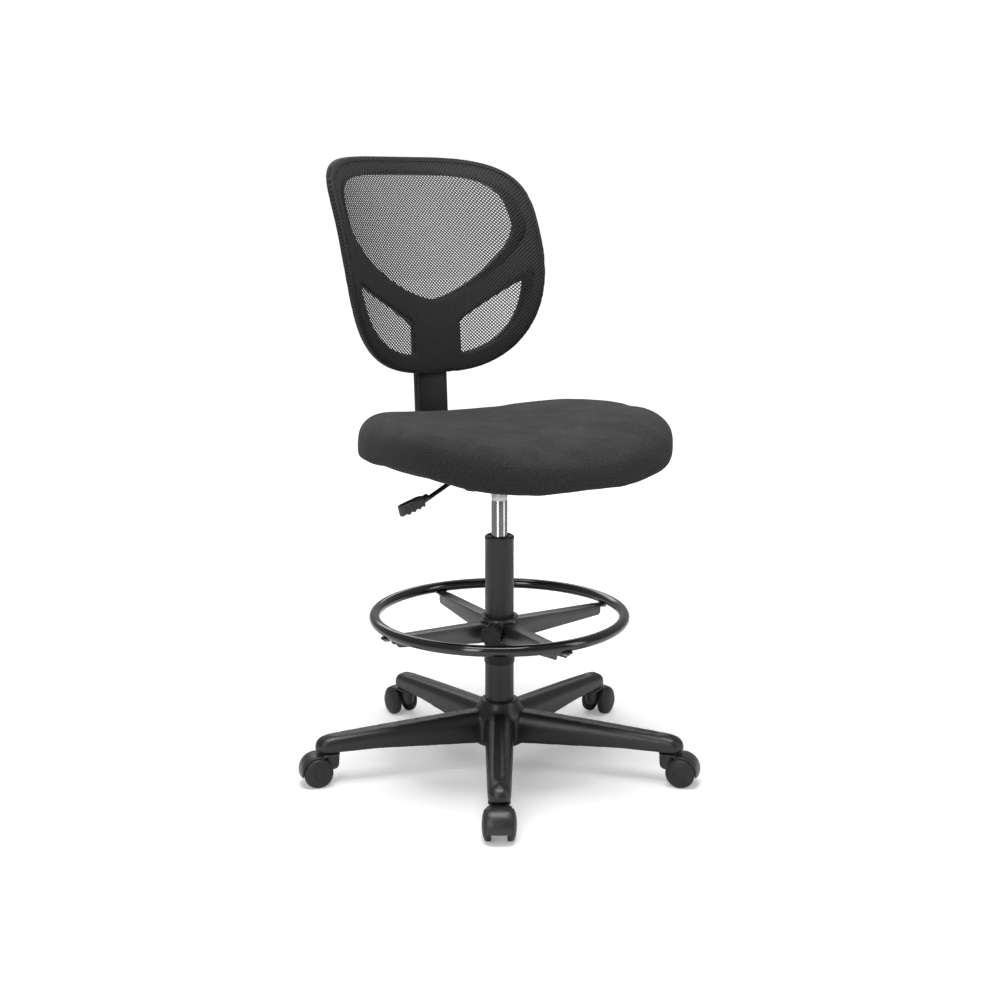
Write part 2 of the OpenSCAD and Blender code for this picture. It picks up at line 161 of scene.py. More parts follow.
def block(name, low, high):
    """A block between two corners in millimetres."""
    low, high = Vector(low) * mm, Vector(high) * mm
    pick(None)
    bpy.ops.mesh.primitive_cube_add(size=1, location=(low + high) / 2, scale=high - low)
    piece = bpy.context.object
    piece.name = piece.data.name = name
    return settle(piece)


def rod(name, radius, length, steps=48):
    """A plain rod on the Z axis, for cutting holes or for joining on."""
    pick(None)
    bpy.ops.mesh.primitive_cylinder_add(
        vertices=steps, radius=radius * mm, depth=length * mm, location=(0, 0, length * mm / 2))
    piece = bpy.context.object
    piece.name = piece.data.name = name
    return settle(piece)


def move(piece, matrix):
    """Carries a piece to its place, turned as the matrix says, and leaves it in its mesh."""
    pick(piece)
    piece.matrix_world = matrix
    bpy.context.view_layer.update()
    return settle(piece)


def copy(piece, name, matrix=None):
    pick(piece)
    bpy.ops.object.duplicate(linked=False)
    twin = bpy.context.object
    twin.name = twin.data.name = name
    return move(twin, matrix) if matrix is not None else twin


def join(name, *pieces):
    pick(None)
    for piece in pieces:
        piece.select_set(True)
    bpy.context.view_layer.objects.active = pieces[0]
    bpy.ops.object.join()
    piece = bpy.context.object
    piece.name = piece.data.name = name
    return piece


def carve(piece, cutter, solver="EXACT", operation="DIFFERENCE"):
    modify(piece, "BOOLEAN", operation=operation, object=cutter, solver=solver)
    remove(cutter)
    return piece


def soften(piece, width, segments=2, angle=30):
    """Rounds the sharp edges."""
    return modify(piece, "BEVEL", width=width * mm, segments=segments, limit_method="ANGLE",
                  angle_limit=math.radians(angle), harden_normals=False)


def mould(piece, grain, smooth=6):
    """Melts joined solids into one skin of even facets, as if cast in one mould."""
    modify(piece, "REMESH", mode="VOXEL", voxel_size=grain * mm)
    return modify(piece, "SMOOTH", factor=0.5, iterations=smooth)


def shift(x=0, y=0, z=0):
    return Matrix.Translation(Vector((x, y, z)) * mm)


def about(axis, degrees):
    return Matrix.Rotation(math.radians(degrees), 4, axis)


def arc(centre, radius, start, end, steps):
    """Points of an arc, as (across, up) pairs."""
    return [(centre[0] + radius * math.cos(math.radians(start + (end - start) * i / steps)),
             centre[1] + radius * math.sin(math.radians(start + (end - start) * i / steps)))
            for i in range(steps + 1)]


def extent(piece):
    """The lowest and highest corners of a piece that is settled in its place."""
    points = [Vector(corner) for corner in piece.bound_box]
    return (Vector([min(p[k] for p in points) for k in range(3)]),
            Vector([max(p[k] for p in points) for k in range(3)]))


print("hand tools ready")

# %% [markdown]
# ## Finishes that several materials share
# Real black plastic, paint and cloth are never one flat colour. Each has a grain that catches
# the light, edges rubbed paler by shoes and hands, a little dust on what faces up, and slow
# changes of tone. Each of these is a node group, built once, and every material sets its own
# size and strength.

# %% Build node groups
def put(tree, kind, props=None, **sockets):
    """Adds a node. Sockets are named with _ for a space, and take a value or a link."""
    node = tree.nodes.new(kind)
    for key, value in (props or {}).items():
        setattr(node, key, value)
    for key, value in sockets.items():
        numbered = key[0] == "i" and key[1:].isdigit()
        socket = node.inputs[int(key[1:]) if numbered else key.replace("_", " ")]
        if isinstance(value, bpy.types.NodeSocket):
            tree.links.new(value, socket)
        else:
            socket.default_value = value
    return node


def new_group(name, inputs, outputs):
    tree = bpy.data.node_groups.new(name, "ShaderNodeTree")
    for label, kind, value in inputs:
        socket = tree.interface.new_socket(name=label, in_out="INPUT", socket_type="NodeSocket" + kind)
        if value is not None:
            socket.default_value = value
    for label, kind in outputs:
        tree.interface.new_socket(name=label, in_out="OUTPUT", socket_type="NodeSocket" + kind)
    return tree, tree.nodes.new("NodeGroupInput").outputs, tree.nodes.new("NodeGroupOutput").inputs


def maths(tree, operation, a, b=0.0, c=0.0, clamp=False):
    return put(tree, "ShaderNodeMath", {"operation": operation, "use_clamp": clamp}, i0=a, i1=b,
               i2=c).outputs[0]


def spread(tree, value, low, high, to_low=0.0, to_high=1.0):
    return put(tree, "ShaderNodeMapRange", {"clamp": True, "interpolation_type": "SMOOTHSTEP"},
               i0=value, i1=low, i2=high, i3=to_low, i4=to_high).outputs[0]


def blend(tree, factor, a, b, how="MIX"):
    return put(tree, "ShaderNodeMix", {"data_type": "RGBA", "blend_type": how},
               Factor=factor, i6=a, i7=b).outputs[2]


# Grain: the fine pebble of a moulded or powder-coated skin, with slow clouds of tone.
grain_group, gi, go = new_group(
    "surface grain", [("Vector", "Vector", None), ("Size", "Float", 900.0)],
    [("Height", "Float"), ("Fleck", "Float"), ("Cloud", "Float")])
pebble = put(grain_group, "ShaderNodeTexNoise", Vector=gi["Vector"], Scale=gi["Size"], Detail=3.0,
             Roughness=0.6)
fleck = put(grain_group, "ShaderNodeTexNoise", Vector=gi["Vector"], Scale=140.0, Detail=4.0, Roughness=0.7)
cloud = put(grain_group, "ShaderNodeTexNoise", Vector=gi["Vector"], Scale=9.0, Detail=3.0, Roughness=0.55)
for label, source in (("Height", pebble), ("Fleck", fleck), ("Cloud", cloud)):
    grain_group.links.new(spread(grain_group, source.outputs["Fac"], 0.3, 0.7), go[label])

# Wear: found where a rounded copy of the surface leans away from the real one.
wear_group, gi, go = new_group(
    "edge wear", [("Vector", "Vector", None), ("Width", "Float", 0.002), ("Amount", "Float", 0.5)],
    [("Mask", "Float")])
rounded = put(wear_group, "ShaderNodeBevel", {"samples": 3}, Radius=gi["Width"])
true_normal = put(wear_group, "ShaderNodeNewGeometry").outputs["Normal"]
lean = put(wear_group, "ShaderNodeVectorMath", {"operation": "DOT_PRODUCT"}, i0=rounded.outputs[0],
           i1=true_normal)
edge = spread(wear_group, maths(wear_group, "SUBTRACT", 1.0, lean.outputs["Value"]), 0.02, 0.16)
patch = put(wear_group, "ShaderNodeTexNoise", Vector=gi["Vector"], Scale=60.0, Detail=5.0, Roughness=0.7)
broken = maths(wear_group, "MULTIPLY", edge, spread(wear_group, patch.outputs["Fac"], 0.38, 0.62))
wear_group.links.new(maths(wear_group, "MULTIPLY", broken, gi["Amount"], clamp=True), go["Mask"])

# Dust: settles on what faces up, thicker in some places.
dust_group, gi, go = new_group(
    "settled dust", [("Vector", "Vector", None), ("Amount", "Float", 0.2)], [("Mask", "Float")])
facing = put(dust_group, "ShaderNodeSeparateXYZ",
             Vector=put(dust_group, "ShaderNodeNewGeometry").outputs["Normal"])
drift = put(dust_group, "ShaderNodeTexNoise", Vector=gi["Vector"], Scale=22.0, Detail=6.0, Roughness=0.65)
lying = maths(dust_group, "MULTIPLY", spread(dust_group, facing.outputs["Z"], 0.35, 0.95),
              spread(dust_group, drift.outputs["Fac"], 0.3, 0.7))
dust_group.links.new(maths(dust_group, "MULTIPLY", lying, gi["Amount"], clamp=True), go["Mask"])

# Weave: over-and-under threads on a plane of two coordinates.
weave_group, gi, go = new_group(
    "plain weave", [("Vector", "Vector", None), ("Threads", "Float", 420.0)],
    [("Height", "Float"), ("Over", "Float"), ("Slub", "Float")])
scaled = put(weave_group, "ShaderNodeVectorMath", {"operation": "SCALE"}, Vector=gi["Vector"],
             Scale=gi["Threads"])
axes = put(weave_group, "ShaderNodeSeparateXYZ", Vector=scaled.outputs[0]).outputs
wave_u = maths(weave_group, "SINE", maths(weave_group, "MULTIPLY", axes["X"], math.pi))
wave_v = maths(weave_group, "SINE", maths(weave_group, "MULTIPLY", axes["Y"], math.pi))
over = maths(weave_group, "MULTIPLY_ADD", maths(weave_group, "MULTIPLY", wave_u, wave_v), 0.5, 0.5)
ridge = maths(weave_group, "MAXIMUM", maths(weave_group, "ABSOLUTE", wave_u),
              maths(weave_group, "ABSOLUTE", wave_v))
slub = put(weave_group, "ShaderNodeTexNoise", Vector=gi["Vector"], Scale=310.0, Detail=4.0, Roughness=0.7)
weave_group.links.new(maths(weave_group, "MULTIPLY_ADD", ridge, 0.6,
                            maths(weave_group, "MULTIPLY", over, 0.4)), go["Height"])
weave_group.links.new(over, go["Over"])
weave_group.links.new(spread(weave_group, slub.outputs["Fac"], 0.3, 0.7), go["Slub"])
print("node groups:", [g.name for g in bpy.data.node_groups])

# %% [markdown]
# ## Hard finishes
# Moulded nylon, powder coat, gloss paint, plated and bare steel differ in four things: colour,
# how rough they are, how coarse their grain is and how their edges wear. One recipe with those
# as ingredients makes them all.

# %% Mix the hard finishes
materials = {}


def grey(level):
    """A neutral colour from a tone between 0 and 255 as the eye counts it, made linear."""
    value = ((level / 255 + 0.055) / 1.055) ** 2.4
    return (value, value, value * 1.02, 1)


def start_material(slot):
    """A new material with its node tree, its shader and the piece's own coordinates."""
    material = bpy.data.materials.new(slot)
    material.use_nodes = True
    tree = material.node_tree
    return material, tree, tree.nodes["Principled BSDF"], put(tree, "ShaderNodeTexCoord").outputs["Object"]


def hard_finish(slot, tone, rough, metal=0.0, coat=0.0, grain=900.0, bump=0.15, wear=0.4, worn=90,
                wear_width=0.0015, dust=0.06, tint=None, fleck=0.12, shine=0.3):
    material, tree, shader, where = start_material(slot)
    skin = put(tree, "ShaderNodeGroup", {"node_tree": grain_group}, Vector=where, Size=grain).outputs
    rubbed = put(tree, "ShaderNodeGroup", {"node_tree": wear_group}, Vector=where, Width=wear_width,
                 Amount=wear)
    dusty = put(tree, "ShaderNodeGroup", {"node_tree": dust_group}, Vector=where, Amount=dust)
    base = tint or grey(tone)
    deep = tuple(c * (1 - fleck) for c in base[:3]) + (1,)
    pale = tuple(c * (1 + fleck) for c in base[:3]) + (1,)
    colour = blend(tree, skin["Cloud"], deep, pale)
    colour = blend(tree, rubbed.outputs[0], colour, grey(worn))
    colour = blend(tree, dusty.outputs[0], colour, grey(150))
    tree.links.new(colour, shader.inputs["Base Color"])
    uneven = maths(tree, "MULTIPLY_ADD", skin["Fleck"], rough * 0.3, rough * 0.85)
    uneven = maths(tree, "MULTIPLY_ADD", dusty.outputs[0], 0.4, uneven, clamp=True)
    tree.links.new(uneven, shader.inputs["Roughness"])
    shader.inputs["Metallic"].default_value = metal
    if metal == 0:
        shader.inputs["Specular IOR Level"].default_value = shine
    shader.inputs["Coat Weight"].default_value = coat
    shader.inputs["Coat Roughness"].default_value = 0.06
    raised = put(tree, "ShaderNodeBump", Strength=bump, Distance=0.0004, Height=skin["Height"])
    tree.links.new(raised.outputs[0], shader.inputs["Normal"])
    material.diffuse_color = base
    materials[slot] = material
    return material


hard_finish("base_nylon", 25, 0.36, grain=1300, bump=0.08, worn=34, wear=0.04, dust=0.0, fleck=0.0,
            shine=0.5)
hard_finish("column_paint", 50, 0.38, grain=1100, bump=0.12, worn=95, wear=0.25, dust=0.02)
hard_finish("black_plastic", 22, 0.42, grain=1200, bump=0.18, worn=60, wear=0.3)
hard_finish("rubber", 22, 0.75, grain=500, bump=0.2, worn=45, wear=0.2)
hard_finish("bearing_steel", 165, 0.25, metal=1.0, grain=700, bump=0.05, worn=200, wear=0.3, dust=0)
hard_finish("zinc_steel", 150, 0.35, metal=1.0, grain=600, bump=0.08, worn=190, wear=0.4, dust=0.03)
hard_finish("hood_plastic", 34, 0.34, grain=1400, bump=0.10, worn=65, wear=0.3, dust=0.03, shine=0.5)
hard_finish("wheel_nylon", 38, 0.42, grain=1200, bump=0.12, worn=70, wear=0.4, dust=0.04)
hard_finish("chrome", 182, 0.2, metal=1.0, grain=400, bump=0.0, worn=200, wear=0.02, dust=0.0, fleck=0.0)
hard_finish("brass", 190, 0.3, metal=1.0, grain=600, bump=0.06, tint=(0.56, 0.40, 0.13, 1))
hard_finish("black_steel", 24, 0.40, grain=900, bump=0.14, worn=85, wear=0.35)
hard_finish("lever_steel", 45, 0.30, metal=0.85, grain=800, bump=0.05, worn=130, wear=0.35, dust=0.02)
hard_finish("paddle_plastic", 34, 0.34, grain=1300, bump=0.12, worn=80, wear=0.35, dust=0.03, shine=0.5)
hard_finish("frame_plastic", 20, 0.5, grain=1100, bump=0.2, worn=55, wear=0.3)
hard_finish("ring_paint", 14, 0.14, coat=0.35, grain=500, bump=0.03, worn=75, wear=0.3, dust=0.02,
            fleck=0.1, shine=0.45)
hard_finish("spoke_paint", 46, 0.33, grain=1000, bump=0.10, worn=105, wear=0.25, dust=0.05, shine=0.9)
print(len(materials), "hard finishes")

# %% [markdown]
# ## Cloth and wood
# The seat is covered in a charcoal polyester of fine matt threads in two tones. Its pattern
# reads the object's own coordinates, looking down on the top and sideways on the walls, so the
# threads keep one size all over. The back carries a knitted net: its strong threads run
# diagonally, and the net is real holes in the windows and a pattern where it lies on the frame.
# The board under the seat is birch plywood with its plies showing at the edge.

# %% Dye the seat cloth
def seat_cloth():
    material, tree, shader, where = start_material("seat_fabric")
    axes = put(tree, "ShaderNodeSeparateXYZ", Vector=where).outputs
    normal = put(tree, "ShaderNodeSeparateXYZ",
                 Vector=put(tree, "ShaderNodeNewGeometry").outputs["True Normal"]).outputs
    top = put(tree, "ShaderNodeCombineXYZ", X=axes["X"], Y=axes["Y"]).outputs[0]
    front = put(tree, "ShaderNodeCombineXYZ", X=axes["X"], Y=axes["Z"]).outputs[0]
    side = put(tree, "ShaderNodeCombineXYZ", X=axes["Y"], Y=axes["Z"]).outputs[0]
    level = maths(tree, "GREATER_THAN", maths(tree, "ABSOLUTE", normal["Z"]), 0.6)
    ahead = maths(tree, "GREATER_THAN", maths(tree, "ABSOLUTE", normal["Y"]),
                  maths(tree, "ABSOLUTE", normal["X"]))
    wall = put(tree, "ShaderNodeMix", {"data_type": "VECTOR"}, Factor=ahead, i4=side, i5=front).outputs[1]
    plane = put(tree, "ShaderNodeMix", {"data_type": "VECTOR"}, Factor=level, i4=wall, i5=top).outputs[1]
    cloth = put(tree, "ShaderNodeGroup", {"node_tree": weave_group}, Vector=plane, Threads=520.0).outputs
    skin = put(tree, "ShaderNodeGroup", {"node_tree": grain_group}, Vector=where, Size=1500.0).outputs
    dusty = put(tree, "ShaderNodeGroup", {"node_tree": dust_group}, Vector=where, Amount=0.05).outputs[0]
    threads = blend(tree, cloth["Over"], grey(26), grey(62))
    slubs = blend(tree, cloth["Slub"], threads, (0.62, 0.62, 0.64, 1), "MULTIPLY")
    cloudy = blend(tree, skin["Cloud"], slubs, (0.88, 0.88, 0.89, 1), "MULTIPLY")
    colour = blend(tree, dusty, cloudy, grey(140))
    tree.links.new(colour, shader.inputs["Base Color"])
    tree.links.new(maths(tree, "MULTIPLY_ADD", cloth["Slub"], 0.12, 0.82), shader.inputs["Roughness"])
    shader.inputs["Sheen Weight"].default_value = 0.06
    shader.inputs["Sheen Roughness"].default_value = 0.5
    shader.inputs["Specular IOR Level"].default_value = 0.12
    height = maths(tree, "MULTIPLY_ADD", cloth["Slub"], 0.35, cloth["Height"])
    raised = put(tree, "ShaderNodeBump", Strength=0.7, Distance=0.0008, Height=height)
    tree.links.new(raised.outputs[0], shader.inputs["Normal"])
    materials["seat_fabric"] = material


seat_cloth()

# %% Knit the net's finish
# The net repeats every 5.9 mm across and 6.2 mm up; the same sizes cut its holes later on.
net_wide, net_high = 5.9, 6.2


def net_cloth():
    material, tree, shader, where = start_material("mesh_fabric")
    axes = put(tree, "ShaderNodeSeparateXYZ", Vector=where).outputs
    across = maths(tree, "MULTIPLY", axes["X"], 1000 / net_wide)
    up = maths(tree, "MULTIPLY", axes["Z"], 1000 / net_high)
    strong = maths(tree, "PINGPONG", maths(tree, "SUBTRACT", across, up), 0.5)
    weak = maths(tree, "PINGPONG", maths(tree, "ADD", across, up), 0.5)
    on_strong = spread(tree, strong, 0.12, 0.24, 1.0, 0.0)
    on_weak = spread(tree, weak, 0.07, 0.17, 1.0, 0.0)
    thread = maths(tree, "MAXIMUM", on_strong, maths(tree, "MULTIPLY", on_weak, 0.8))
    fibre = put(tree, "ShaderNodeTexNoise", Vector=where, Scale=2200.0, Detail=3.0,
                Roughness=0.7).outputs["Fac"]
    skin = put(tree, "ShaderNodeGroup", {"node_tree": grain_group}, Vector=where, Size=900.0).outputs
    colour = blend(tree, thread, grey(8), grey(36))
    colour = blend(tree, maths(tree, "MULTIPLY", on_strong, spread(tree, fibre, 0.45, 0.62)), colour,
                   grey(60))
    colour = blend(tree, skin["Cloud"], colour, (0.85, 0.85, 0.86, 1), "MULTIPLY")
    tree.links.new(colour, shader.inputs["Base Color"])
    tree.links.new(maths(tree, "MULTIPLY_ADD", fibre, 0.3, 0.5), shader.inputs["Roughness"])
    shader.inputs["Sheen Weight"].default_value = 0.03
    shader.inputs["Specular IOR Level"].default_value = 0.2
    height = maths(tree, "MULTIPLY_ADD", fibre, 0.25, thread)
    raised = put(tree, "ShaderNodeBump", Strength=0.55, Distance=0.0006, Height=height)
    tree.links.new(raised.outputs[0], shader.inputs["Normal"])
    materials["mesh_fabric"] = material


net_cloth()

# %% Saw the plywood
def birch_ply():
    material, tree, shader, where = start_material("plywood")
    axes = put(tree, "ShaderNodeSeparateXYZ", Vector=where).outputs
    along = put(tree, "ShaderNodeMapping", Vector=where, Scale=(3.0, 40.0, 8.0)).outputs[0]
    figure = put(tree, "ShaderNodeTexNoise", Vector=along, Scale=6.0, Detail=6.0, Roughness=0.6,
                 Distortion=0.8).outputs["Fac"]
    plies = maths(tree, "SINE", maths(tree, "MULTIPLY", axes["Z"], 2 * math.pi / 0.0028))
    face = blend(tree, figure, (0.50, 0.33, 0.17, 1), (0.68, 0.50, 0.29, 1))
    level = put(tree, "ShaderNodeSeparateXYZ",
                Vector=put(tree, "ShaderNodeNewGeometry").outputs["Normal"]).outputs["Z"]
    edge_on = spread(tree, maths(tree, "ABSOLUTE", level), 0.3, 0.6, 1.0, 0.0)
    dark = maths(tree, "MULTIPLY", spread(tree, plies, 0.0, 0.6), edge_on)
    colour = blend(tree, dark, face, (0.30, 0.18, 0.09, 1))
    tree.links.new(colour, shader.inputs["Base Color"])
    tree.links.new(maths(tree, "MULTIPLY_ADD", figure, 0.2, 0.55), shader.inputs["Roughness"])
    raised = put(tree, "ShaderNodeBump", Strength=0.2, Distance=0.0004, Height=figure)
    tree.links.new(raised.outputs[0], shader.inputs["Normal"])
    materials["plywood"] = material


birch_ply()
print("materials:", sorted(materials))

# %% [markdown]
# ## Handing a piece over
# A finished piece rides on its moving body, hides the CAD node it stands for, and wears its
# finish. CAD nodes that are already right in shape, such as bearings and pins, only change
# their finish.

# %% Finish and dress
made = []


def finish(piece, body, slot, *replaces, smooth=35):
    settle(piece)
    bpy.ops.object.shade_smooth_by_angle(angle=math.radians(smooth))
    piece.data.materials.clear()
    piece.data.materials.append(materials[slot])
    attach(piece, body)
    if replaces:
        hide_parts(*replaces)
    piece.data.calc_loop_triangles()
    made.append(piece)
    print(piece.name, "rides on", body, "with", len(piece.data.loop_triangles), "triangles")
    return piece


def dress(slot, *names):
    for name in names:
        node = nodes[name]
        node.data.materials.clear()
        node.data.materials.append(materials[slot])


dress("zinc_steel", "grip_rings", "rod_clip", "lever_pin", "tee_nuts", "seat_bolts", "clamp_stud",
      "ring_screws",
      *[f"caster_{i}_{part}" for i in range(1, 6) for part in ("stem", "axle")])
dress("bearing_steel", "thrust_bearing", "upper_race")
dress("rubber", "rubber_buffer")
dress("chrome", "piston_rod")
dress("black_plastic", "rod_guide", "cone_socket")
dress("brass", "release_pin")


# %% [markdown]
# ## The star base
# A five-star base is one moulding of glass-filled nylon. Each arm has a domed top that narrows
# to a round nose, with a small boss over the caster's stem, and the five arms melt into a
# turned hub. So one arm is drawn as a cross-section and pushed outwards in steps, each step
# narrower, then copied five times and melted together with the hub. The underside is then
# hollowed between ribs, as every such moulding is.

# %% Push one arm out from the hub
def arm_section(half, under, top):
    """Half-width, underside and top give a flat-bottomed dome, as (y, z) points."""
    shoulder = under + 0.42 * (top - under)
    dome = []
    for i in range(17):
        angle = math.pi * i / 16
        c, s = math.cos(angle), math.sin(angle)
        dome.append((half * math.copysign(abs(c) ** 0.8, c), shoulder + (top - shoulder) * s ** 0.8))
    return [(half - 3, under), (half - 0.8, under + 0.8), (half, under + 3)] + dome + [
        (-half, under + 3), (-half + 0.8, under + 0.8), (-half + 3, under)]


nose_r, nose_x = 18.5, 308.5
stations = [(20, 24.8, 46, 103), (70, 24, 48.5, 100.3), (125, 22.9, 51.6, 97), (180, 21.7, 54.7, 93.4),
            (225, 20.6, 57.1, 90.3), (270, 19.6, 57.1, 87), (296, 18.9, 57.1, 84.8),
            (308.5, 18.5, 57.1, 82.8)]
for run, drop in ((5, 1.4), (9.5, 3.6), (13, 6.2), (15.6, 9.2), (17.4, 12.6), (18.3, 16.5)):
    stations.append((nose_x + run, math.sqrt(nose_r ** 2 - run ** 2), 57.1 + drop * 0.1, 82.8 - drop))

arm = draw("arm", [(stations[0][0], y, z) for y, z in arm_section(*stations[0][1:])], fill=True)
edit(arm, "FACE")
bpy.ops.mesh.select_all(action="SELECT")
for (x0, w0, u0, t0), (x1, w1, u1, t1) in zip(stations, stations[1:]):
    bpy.ops.mesh.extrude_region_move(TRANSFORM_OT_translate={"value": Vector((x1 - x0, 0, u1 - u0)) * mm})
    bpy.ops.transform.resize(value=(1, w1 / w0, (t1 - u1) / (t0 - u0)),
                             center_override=Vector((x1, 0, u1)) * mm)
leave()
tidy_faces(arm)

pick(None)
bpy.ops.mesh.primitive_uv_sphere_add(segments=40, ring_count=20, radius=1,
                                     location=Vector((303, 0, 75)) * mm,
                                     scale=Vector((12.5, 11.5, 10.4)) * mm)
boss = settle(bpy.context.object)
# a shallow trough runs down the middle of the arm and stops in a round end before the boss
trough = move(rod("trough", 17, 246, 64), shift(38, 0, 117.4) @ about("Y", 90 + 4.1))
pick(None)
bpy.ops.mesh.primitive_uv_sphere_add(segments=48, ring_count=24, radius=0.017,
                                     location=Vector((283.4, 0, 99.8)) * mm)
round_end = settle(bpy.context.object)
carve(arm, trough)
carve(arm, round_end)
arm = join("arm", arm, boss)

hub = turn("hub", [(0, 40), (39, 40), (44, 42), (46.5, 47), (46.5, 88), (45, 94), (41, 101), (36.5, 108),
                   (34, 113), (33.4, 116.6),
                   (32.2, 118), (0, 118)], loop=False)
arms = [copy(arm, f"arm_{i}", about("Z", math.degrees(a))) for i, a in enumerate(arm_angles)]
remove(arm)
star = join("star_moulding", hub, *arms)
mould(star, 2.3, smooth=11)
print("base skin:", len(star.data.polygons), "faces")

# %% Hollow the underside between its ribs
pockets = []
for start, end in ((52, 93), (98, 147), (152, 202), (207, 257), (262, 286)):
    for side in (-1, 1):
        width = 25 - 0.021 * start - 4.6
        low, high = sorted((side * 1.6, side * width))
        pockets.append(block("pocket", (start, low, 30), (end, high, 86 - (start - 50) * 0.045)))
pocket = join("pocket", *pockets)
soften(pocket, 2.0, 2)
cutters = [copy(pocket, f"pocket_{i}", about("Z", math.degrees(a))) for i, a in enumerate(arm_angles)]
remove(pocket)
bore = rod("bore", 24.9, 120, 64)
carve(star, join("cutter", *cutters), solver="EXACT")
carve(star, move(bore, shift(0, 0, 20)), solver="EXACT")
for i, a in enumerate(arm_angles):
    hole = move(rod("stem_hole", 5.8, 22), about("Z", math.degrees(a)) @ shift(303, 0, 56))
    carve(star, hole)
finish(star, "base", "base_nylon", "star_base", smooth=40)

# %% [markdown]
# ## The casters
# A twin-wheel caster has two wheels with domed outer faces, an axle between them, and a hood
# that wraps over the front of the treads and rises into a neck. The hood is spun as a crowned
# strip round the axle, joined to its neck and its middle web, and melted into one moulding. The
# wheels are turned. One of each is made with its stem on the Z axis and copied to five places.

# %% Mould one hood
wheel_r, trail = 25, 22
strip = [(20 * t, 29.4 - 2.2 * abs(t) ** 3.2) for t in np.linspace(-1, 1, 17)]
strip += [(20 * t, 26.2 - 0.6 * abs(t) ** 3) for t in np.linspace(1, -1, 9)]
hood = draw("hood", [(r, y, 0) for y, r in strip], fill=True)
edit(hood, "FACE")
bpy.ops.mesh.select_all(action="SELECT")
bpy.ops.mesh.spin(steps=36, angle=math.radians(128), center=(0, 0, 0), axis=(0, 1, 0))
bpy.ops.mesh.select_all(action="SELECT")
bpy.ops.mesh.fill_holes(sides=0)
leave()
tidy_faces(hood)
# turned so that it starts 12 degrees under the level, ahead of the axle, and ends over the back
hood = move(hood, shift(trail, 0, wheel_r) @ about("Y", 12))
axle_place = shift(trail, 0, wheel_r) @ about("X", 90)
neck = turn("neck", [(0, 25), (13, 25), (15.5, 27), (16.8, 31), (17.4, 40), (17.8, 53), (17.2, 54.2),
                     (0, 54.2)], 48, loop=False)
waist = turn("waist", [(0, 50), (17.6, 50), (18.2, 51.5), (18.2, 53.2), (17.6, 54.2), (0, 54.2)], 48,
             loop=False)
# under the wheels' tops the neck is only as wide as the gap between them
neck = move(neck, Matrix.Diagonal((1, 0.66, 1, 1)))
web = cut("web", [(22 + x, -8, 25 + z) for x, z in
                  [(0, -9)] + arc((0, 0), 28, -10, 116, 30) + [(-9, 0)] + arc((0, 0), 9, 180, 260, 8)],
                  (0, 16, 0))
hood = join("hood", hood, neck, waist, web)
mould(hood, 1.15, smooth=3)
print("hood", [round(v / mm, 1) for v in extent(hood)[0]], [round(v / mm, 1) for v in extent(hood)[1]])

# %% Turn one wheel
# Read outwards from the inner face: hub boss, dished web, rim, tread with rounded shoulders,
# and the domed outer face with its shallow ring groove and centre cap.
dome = [(24.6 * math.cos(t), 20.4 + 7.1 * math.sin(t)) for t in np.linspace(0.12, 1.15, 12)]
wheel = turn("wheel", [(3.05, 9.0), (7.6, 9.0), (8, 9.4), (8, 13.4), (19.5, 15.2), (20.4, 12.9),
                       (21, 12.5), (23.6, 12.5),
                       (24.7, 13), (25, 14), (25, 19.6)] + dome + [(9.2, 26.9), (8.9, 26.4), (8.4, 26.4),
                                                                   (8.1, 27.0),
                       (4, 27.3), (0.01, 27.4), (0.01, 23.5), (3.05, 23.5)], 72)

# %% Place the five casters
for i, a in enumerate(arm_angles, 1):
    stand = about("Z", math.degrees(a)) @ shift(303, 0, 0)
    body = f"caster_{i}"
    finish(copy(hood, f"caster_{i}_hood_moulding", stand), body, "hood_plastic", f"caster_{i}_hood",
           smooth=50)
    for side, sign in (("left", 1), ("right", -1)):
        # the wheel's axis, drawn upwards, is laid across the caster
        lay = stand @ shift(trail, 0, wheel_r) @ about("X", -90 * sign)
        finish(copy(wheel, f"caster_{i}_wheel_{side}_tyre", lay), f"caster_{i}_{side}", "wheel_nylon",
               f"caster_{i}_wheel_{side}", smooth=30)
for spare in (hood, wheel):
    remove(spare)

# %% [markdown]
# ## Column and gas lift
# The outer column is a rolled and welded tube with a folded lip, satin painted. A plastic
# bushing fills its mouth, and the chromed cylinder slides in it. All three are turned, with
# the small radii that a lathe or a press leaves, because those radii catch the light.

# %% Turn the column, the bushing and the cylinder
column = turn("column_shell", [(6, 42), (24.4, 42), (25, 42.6), (25, 401.5), (25.5, 402.3), (25.8, 403.5),
                               (25.8, 405.6),
                               (25.3, 406.7), (24.4, 407.1), (23.4, 406.7), (23.0, 405.8), (23, 45),
                               (6, 45)], 128)
finish(column, "base", "column_paint", "column_tube")
bushing = turn("mouth_bushing", [(14.06, 330), (22.95, 330), (22.95, 406.6), (23.6, 407.4), (23.4, 408.6),
                                 (22.4, 409),
                                 (21.2, 409), (20.4, 408.4), (19.8, 406.6), (19, 406.2), (16.2, 406.2),
                                 (15.4, 405.6),
                                 (14.6, 403.4), (14.06, 402.6)], 128)
finish(bushing, "base", "black_plastic", "column_bushing")
cylinder = turn("lift_cylinder", [(12.5, 155), (13.6, 155), (14, 155.4), (14, 469.2), (13.82, 469.6),
                                  (13.82, 471.4),
                                  (14, 471.8), (14, 478), (12.98, 523.6), (12.5, 524), (4.06, 524),
                                  (4.06, 498),
                                  (12.5, 498)], 128)
finish(cylinder, "seat", "chrome", "gas_cylinder", smooth=25)

